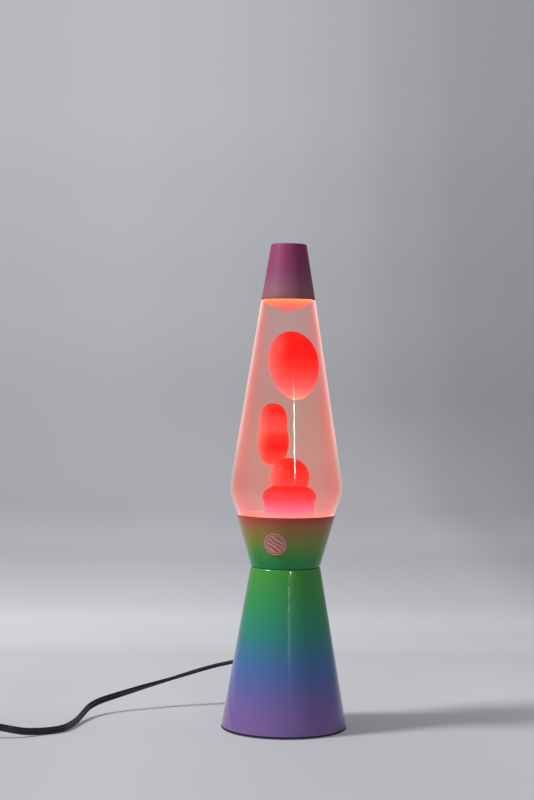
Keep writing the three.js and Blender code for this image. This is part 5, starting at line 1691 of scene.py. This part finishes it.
class LAVA_OT_studio(bpy.types.Operator):
    """The camera, the sweep of plain floor and wall behind the lamp, and the lights"""

    bl_idname = "lava_lamp.add_studio"
    bl_label = "Studio"

    def execute(self, context):
        studio = context.scene.lava_lamp_studio
        context.scene.view_settings.view_transform = "Standard"
        camera = bpy.data.cameras.new("camera")
        camera.lens, camera.sensor_width, camera.clip_start = studio.lens, 36, 0.01
        eye = bpy.data.objects.new("camera", camera)
        eye.location = (-0.0154, -1.324, 0.2684)
        down, roll = radians(0.82), radians(0.62)
        aim = Euler((pi / 2 - down, 0, 0)).to_quaternion() @ Quaternion((0, 0, 1), roll)
        eye.rotation_euler = aim.to_euler()
        context.scene.collection.objects.link(eye)
        context.scene.camera = eye
        self.sweep(context, studio)
        self.lights(context, studio)
        return {"FINISHED"}

    def sweep(self, context, studio):
        """A floor that curves up into a wall: a line, a quarter circle and a line, carried along X."""
        start, bend, radius, top, half = -4.2, 2.2, 0.8, 3.2, 4.2
        turn = np.linspace(0, pi / 2, 33)
        curve = np.column_stack([bend + radius * np.sin(turn), radius * (1 - np.cos(turn))])
        flat = np.column_stack([np.linspace(start, bend, 20)[:-1], np.zeros(19)])
        rise = np.column_stack([np.full(20, bend + radius), np.linspace(radius, top, 21)[1:]])
        line = np.concatenate([flat, curve, rise])
        x = np.linspace(-half, half, 27)
        grid = np.stack([np.column_stack([x, np.full(27, y), np.full(27, z)]) for y, z in line])
        points, faces, _ = patch(grid, wrap_columns=False)
        mesh = bpy.data.meshes.new("sweep")
        mesh.from_pydata(points.tolist(), [], faces.tolist())
        mesh.shade_smooth()
        sweep = bpy.data.objects.new("sweep", mesh)
        context.scene.collection.objects.link(sweep)
        # The sweep's greys are painted shade and light: bands by depth, height and side stand in for how the lights
        # fall on it
        f = Finish("paper_sweep_painted_shade")

        def painted_shade_greys(factor, *pairs):
            return f.ramp(factor, tuple((at, (level,) * 3) for at, level in pairs))

        painted_depth_shade = painted_shade_greys(
            f.between(f.place("Y"), -0.4, 1.6),
            *((0.1, 0.626), (0.18, 0.645), (0.26, 0.73), (0.36, 0.78), (0.42, 0.9)),
            *((0.49, 0.98), (0.58, 0.92), (0.8, 0.9), (1.0, 1.0)),
        )
        high = painted_shade_greys(
            f.between(f.place("Z"), 0.0, 1.2),
            *((0.0, 0.78), (0.17, 0.765), (0.38, 0.84), (0.58, 0.894), (0.79, 0.965), (1.0, 0.985)),
        )
        side = f.between(f.place("X"), -0.65, 0.65)
        wall = painted_shade_greys(
            side,
            *((0.0, 0.95), (0.21, 0.97), (0.37, 0.93), (0.5, 0.88)),
            *((0.62, 0.82), (0.75, 0.71), (0.87, 0.63), (1.0, 0.61)),
        )
        middle = painted_shade_greys(
            side, *((0.0, 0.9), (0.23, 0.94), (0.37, 0.975), (0.5, 0.95), (0.69, 0.92), (0.81, 0.76), (1.0, 0.64))
        )
        floor = painted_shade_greys(
            side, *((0.0, 0.85), (0.33, 0.89), (0.42, 0.975), (0.5, 0.97), (0.57, 1.0), (0.65, 1.08), (1.0, 1.06))
        )
        painted_far_shade = f.mix(f.between(f.place("Z"), 0.0, 0.2), middle, wall)
        across = f.mix(f.between(f.place("Y"), 0.15, 0.45), floor, painted_far_shade)
        tone = f.mix(1.0, f.mix(1.0, painted_depth_shade, high, "MULTIPLY"), across, "MULTIPLY")
        fibre = f.mix(f.noise(300, 3), varied(studio.floor, 0.985), varied(studio.floor, 1.015))
        base = f.mix(1.0, fibre, tone, "MULTIPLY")
        sockets = {
            "Base Color": base,
            "Roughness": 0.9,
            "Specular IOR Level": 0.1,
            "Normal": f.bump(f.noise(500, 2), 0.1 * MM, 0.1),
            # Painted light: the sweep glows with its own colour
            "Emission Color": base,
            "Emission Strength": studio.painted_paper_glow,
        }
        mesh.materials.append(f.done(f.add("BsdfPrincipled", sockets)))

    def lights(self, context, studio):
        """A small key from the left, two narrow strips that the gloss reflects, and an even room."""
        self.light(context, "key", (-1.1, -0.35, 1.2), (0, 0, 0.15), (0.3, 0.3), studio.key)
        self.light(context, "cone_strip", (0.25, -1.38, 0.37), (0, 0, 0.08), (0.012, 0.14), 0.17)
        self.light(context, "globe_strip", (0.41, -1.34, 0.615), (0, 0, 0.23), (0.022, 0.13), 2.2)
        world = bpy.data.worlds.new("room")
        world.use_nodes = True
        background = world.node_tree.nodes["Background"]
        background.inputs["Color"].default_value = (0.95, 0.98, 1.0, 1)
        background.inputs["Strength"].default_value = studio.fill
        context.scene.world = world

    def light(self, context, name, place, aim, spread, power):
        """A white rectangle of light at a place, facing a point."""
        lamp = bpy.data.lights.new(name, "AREA")
        lamp.shape, lamp.size, lamp.size_y, lamp.energy = "RECTANGLE", *spread, power
        holder = bpy.data.objects.new(name, lamp)
        holder.location = place
        towards = np.asarray(aim) - np.asarray(place)
        pitch = atan2(hypot(towards[0], towards[1]), -towards[2])
        heading = atan2(towards[1], towards[0]) - pi / 2
        holder.rotation_euler = (pitch, 0, heading)
        context.scene.collection.objects.link(holder)


# The panel


OPERATORS = (
    LAVA_OT_studio,
    LAVA_OT_switch,
    LAVA_OT_plug,
    LAVA_OT_tie,
    LAVA_OT_cord,
    LAVA_OT_boot,
    LAVA_OT_cone,
    LAVA_OT_cup,
    LAVA_OT_cap,
    LAVA_OT_rivets,
    LAVA_OT_underside,
    LAVA_OT_socket,
    LAVA_OT_bulb,
    LAVA_OT_globe,
    LAVA_OT_liquid,
    LAVA_OT_wax,
    LAVA_OT_heater,
    LAVA_OT_closure,
    LAVA_OT_sticker,
)
GROUPS = {
    "lava_lamp_metal": LavaLampMetal,
    "lava_lamp_globe": LavaLampGlobe,
    "lava_lamp_cord": LavaLampCord,
    "lava_lamp_studio": LavaLampStudio,
}


class LAVA_PT_panel(bpy.types.Panel):
    """Lists the steps that make the lamp, and what a user would change"""

    bl_idname = "LAVA_PT_panel"
    bl_label = "Lava lamp"
    bl_space_type = "VIEW_3D"
    bl_region_type = "UI"
    bl_category = "Lava lamp"

    def draw(self, context):
        steps = self.layout.column(align=True)
        for operator in OPERATORS:
            steps.operator(operator.bl_idname)
        for name, group in GROUPS.items():
            box = self.layout.box()
            for field in group.__annotations__:
                box.prop(getattr(context.scene, name), field)


def register():
    for item in (*GROUPS.values(), *OPERATORS, LAVA_PT_panel):
        bpy.utils.register_class(item)
    for name, group in GROUPS.items():
        setattr(bpy.types.Scene, name, bpy.props.PointerProperty(type=group))


def unregister():
    for name in GROUPS:
        delattr(bpy.types.Scene, name)
    for item in reversed((*GROUPS.values(), *OPERATORS, LAVA_PT_panel)):
        bpy.utils.unregister_class(item)


def main():
    register()
    for operator in OPERATORS:
        step = operator.bl_idname.split(".")[1]
        getattr(bpy.ops.lava_lamp, step)()


if __name__ == "__main__":
    main()
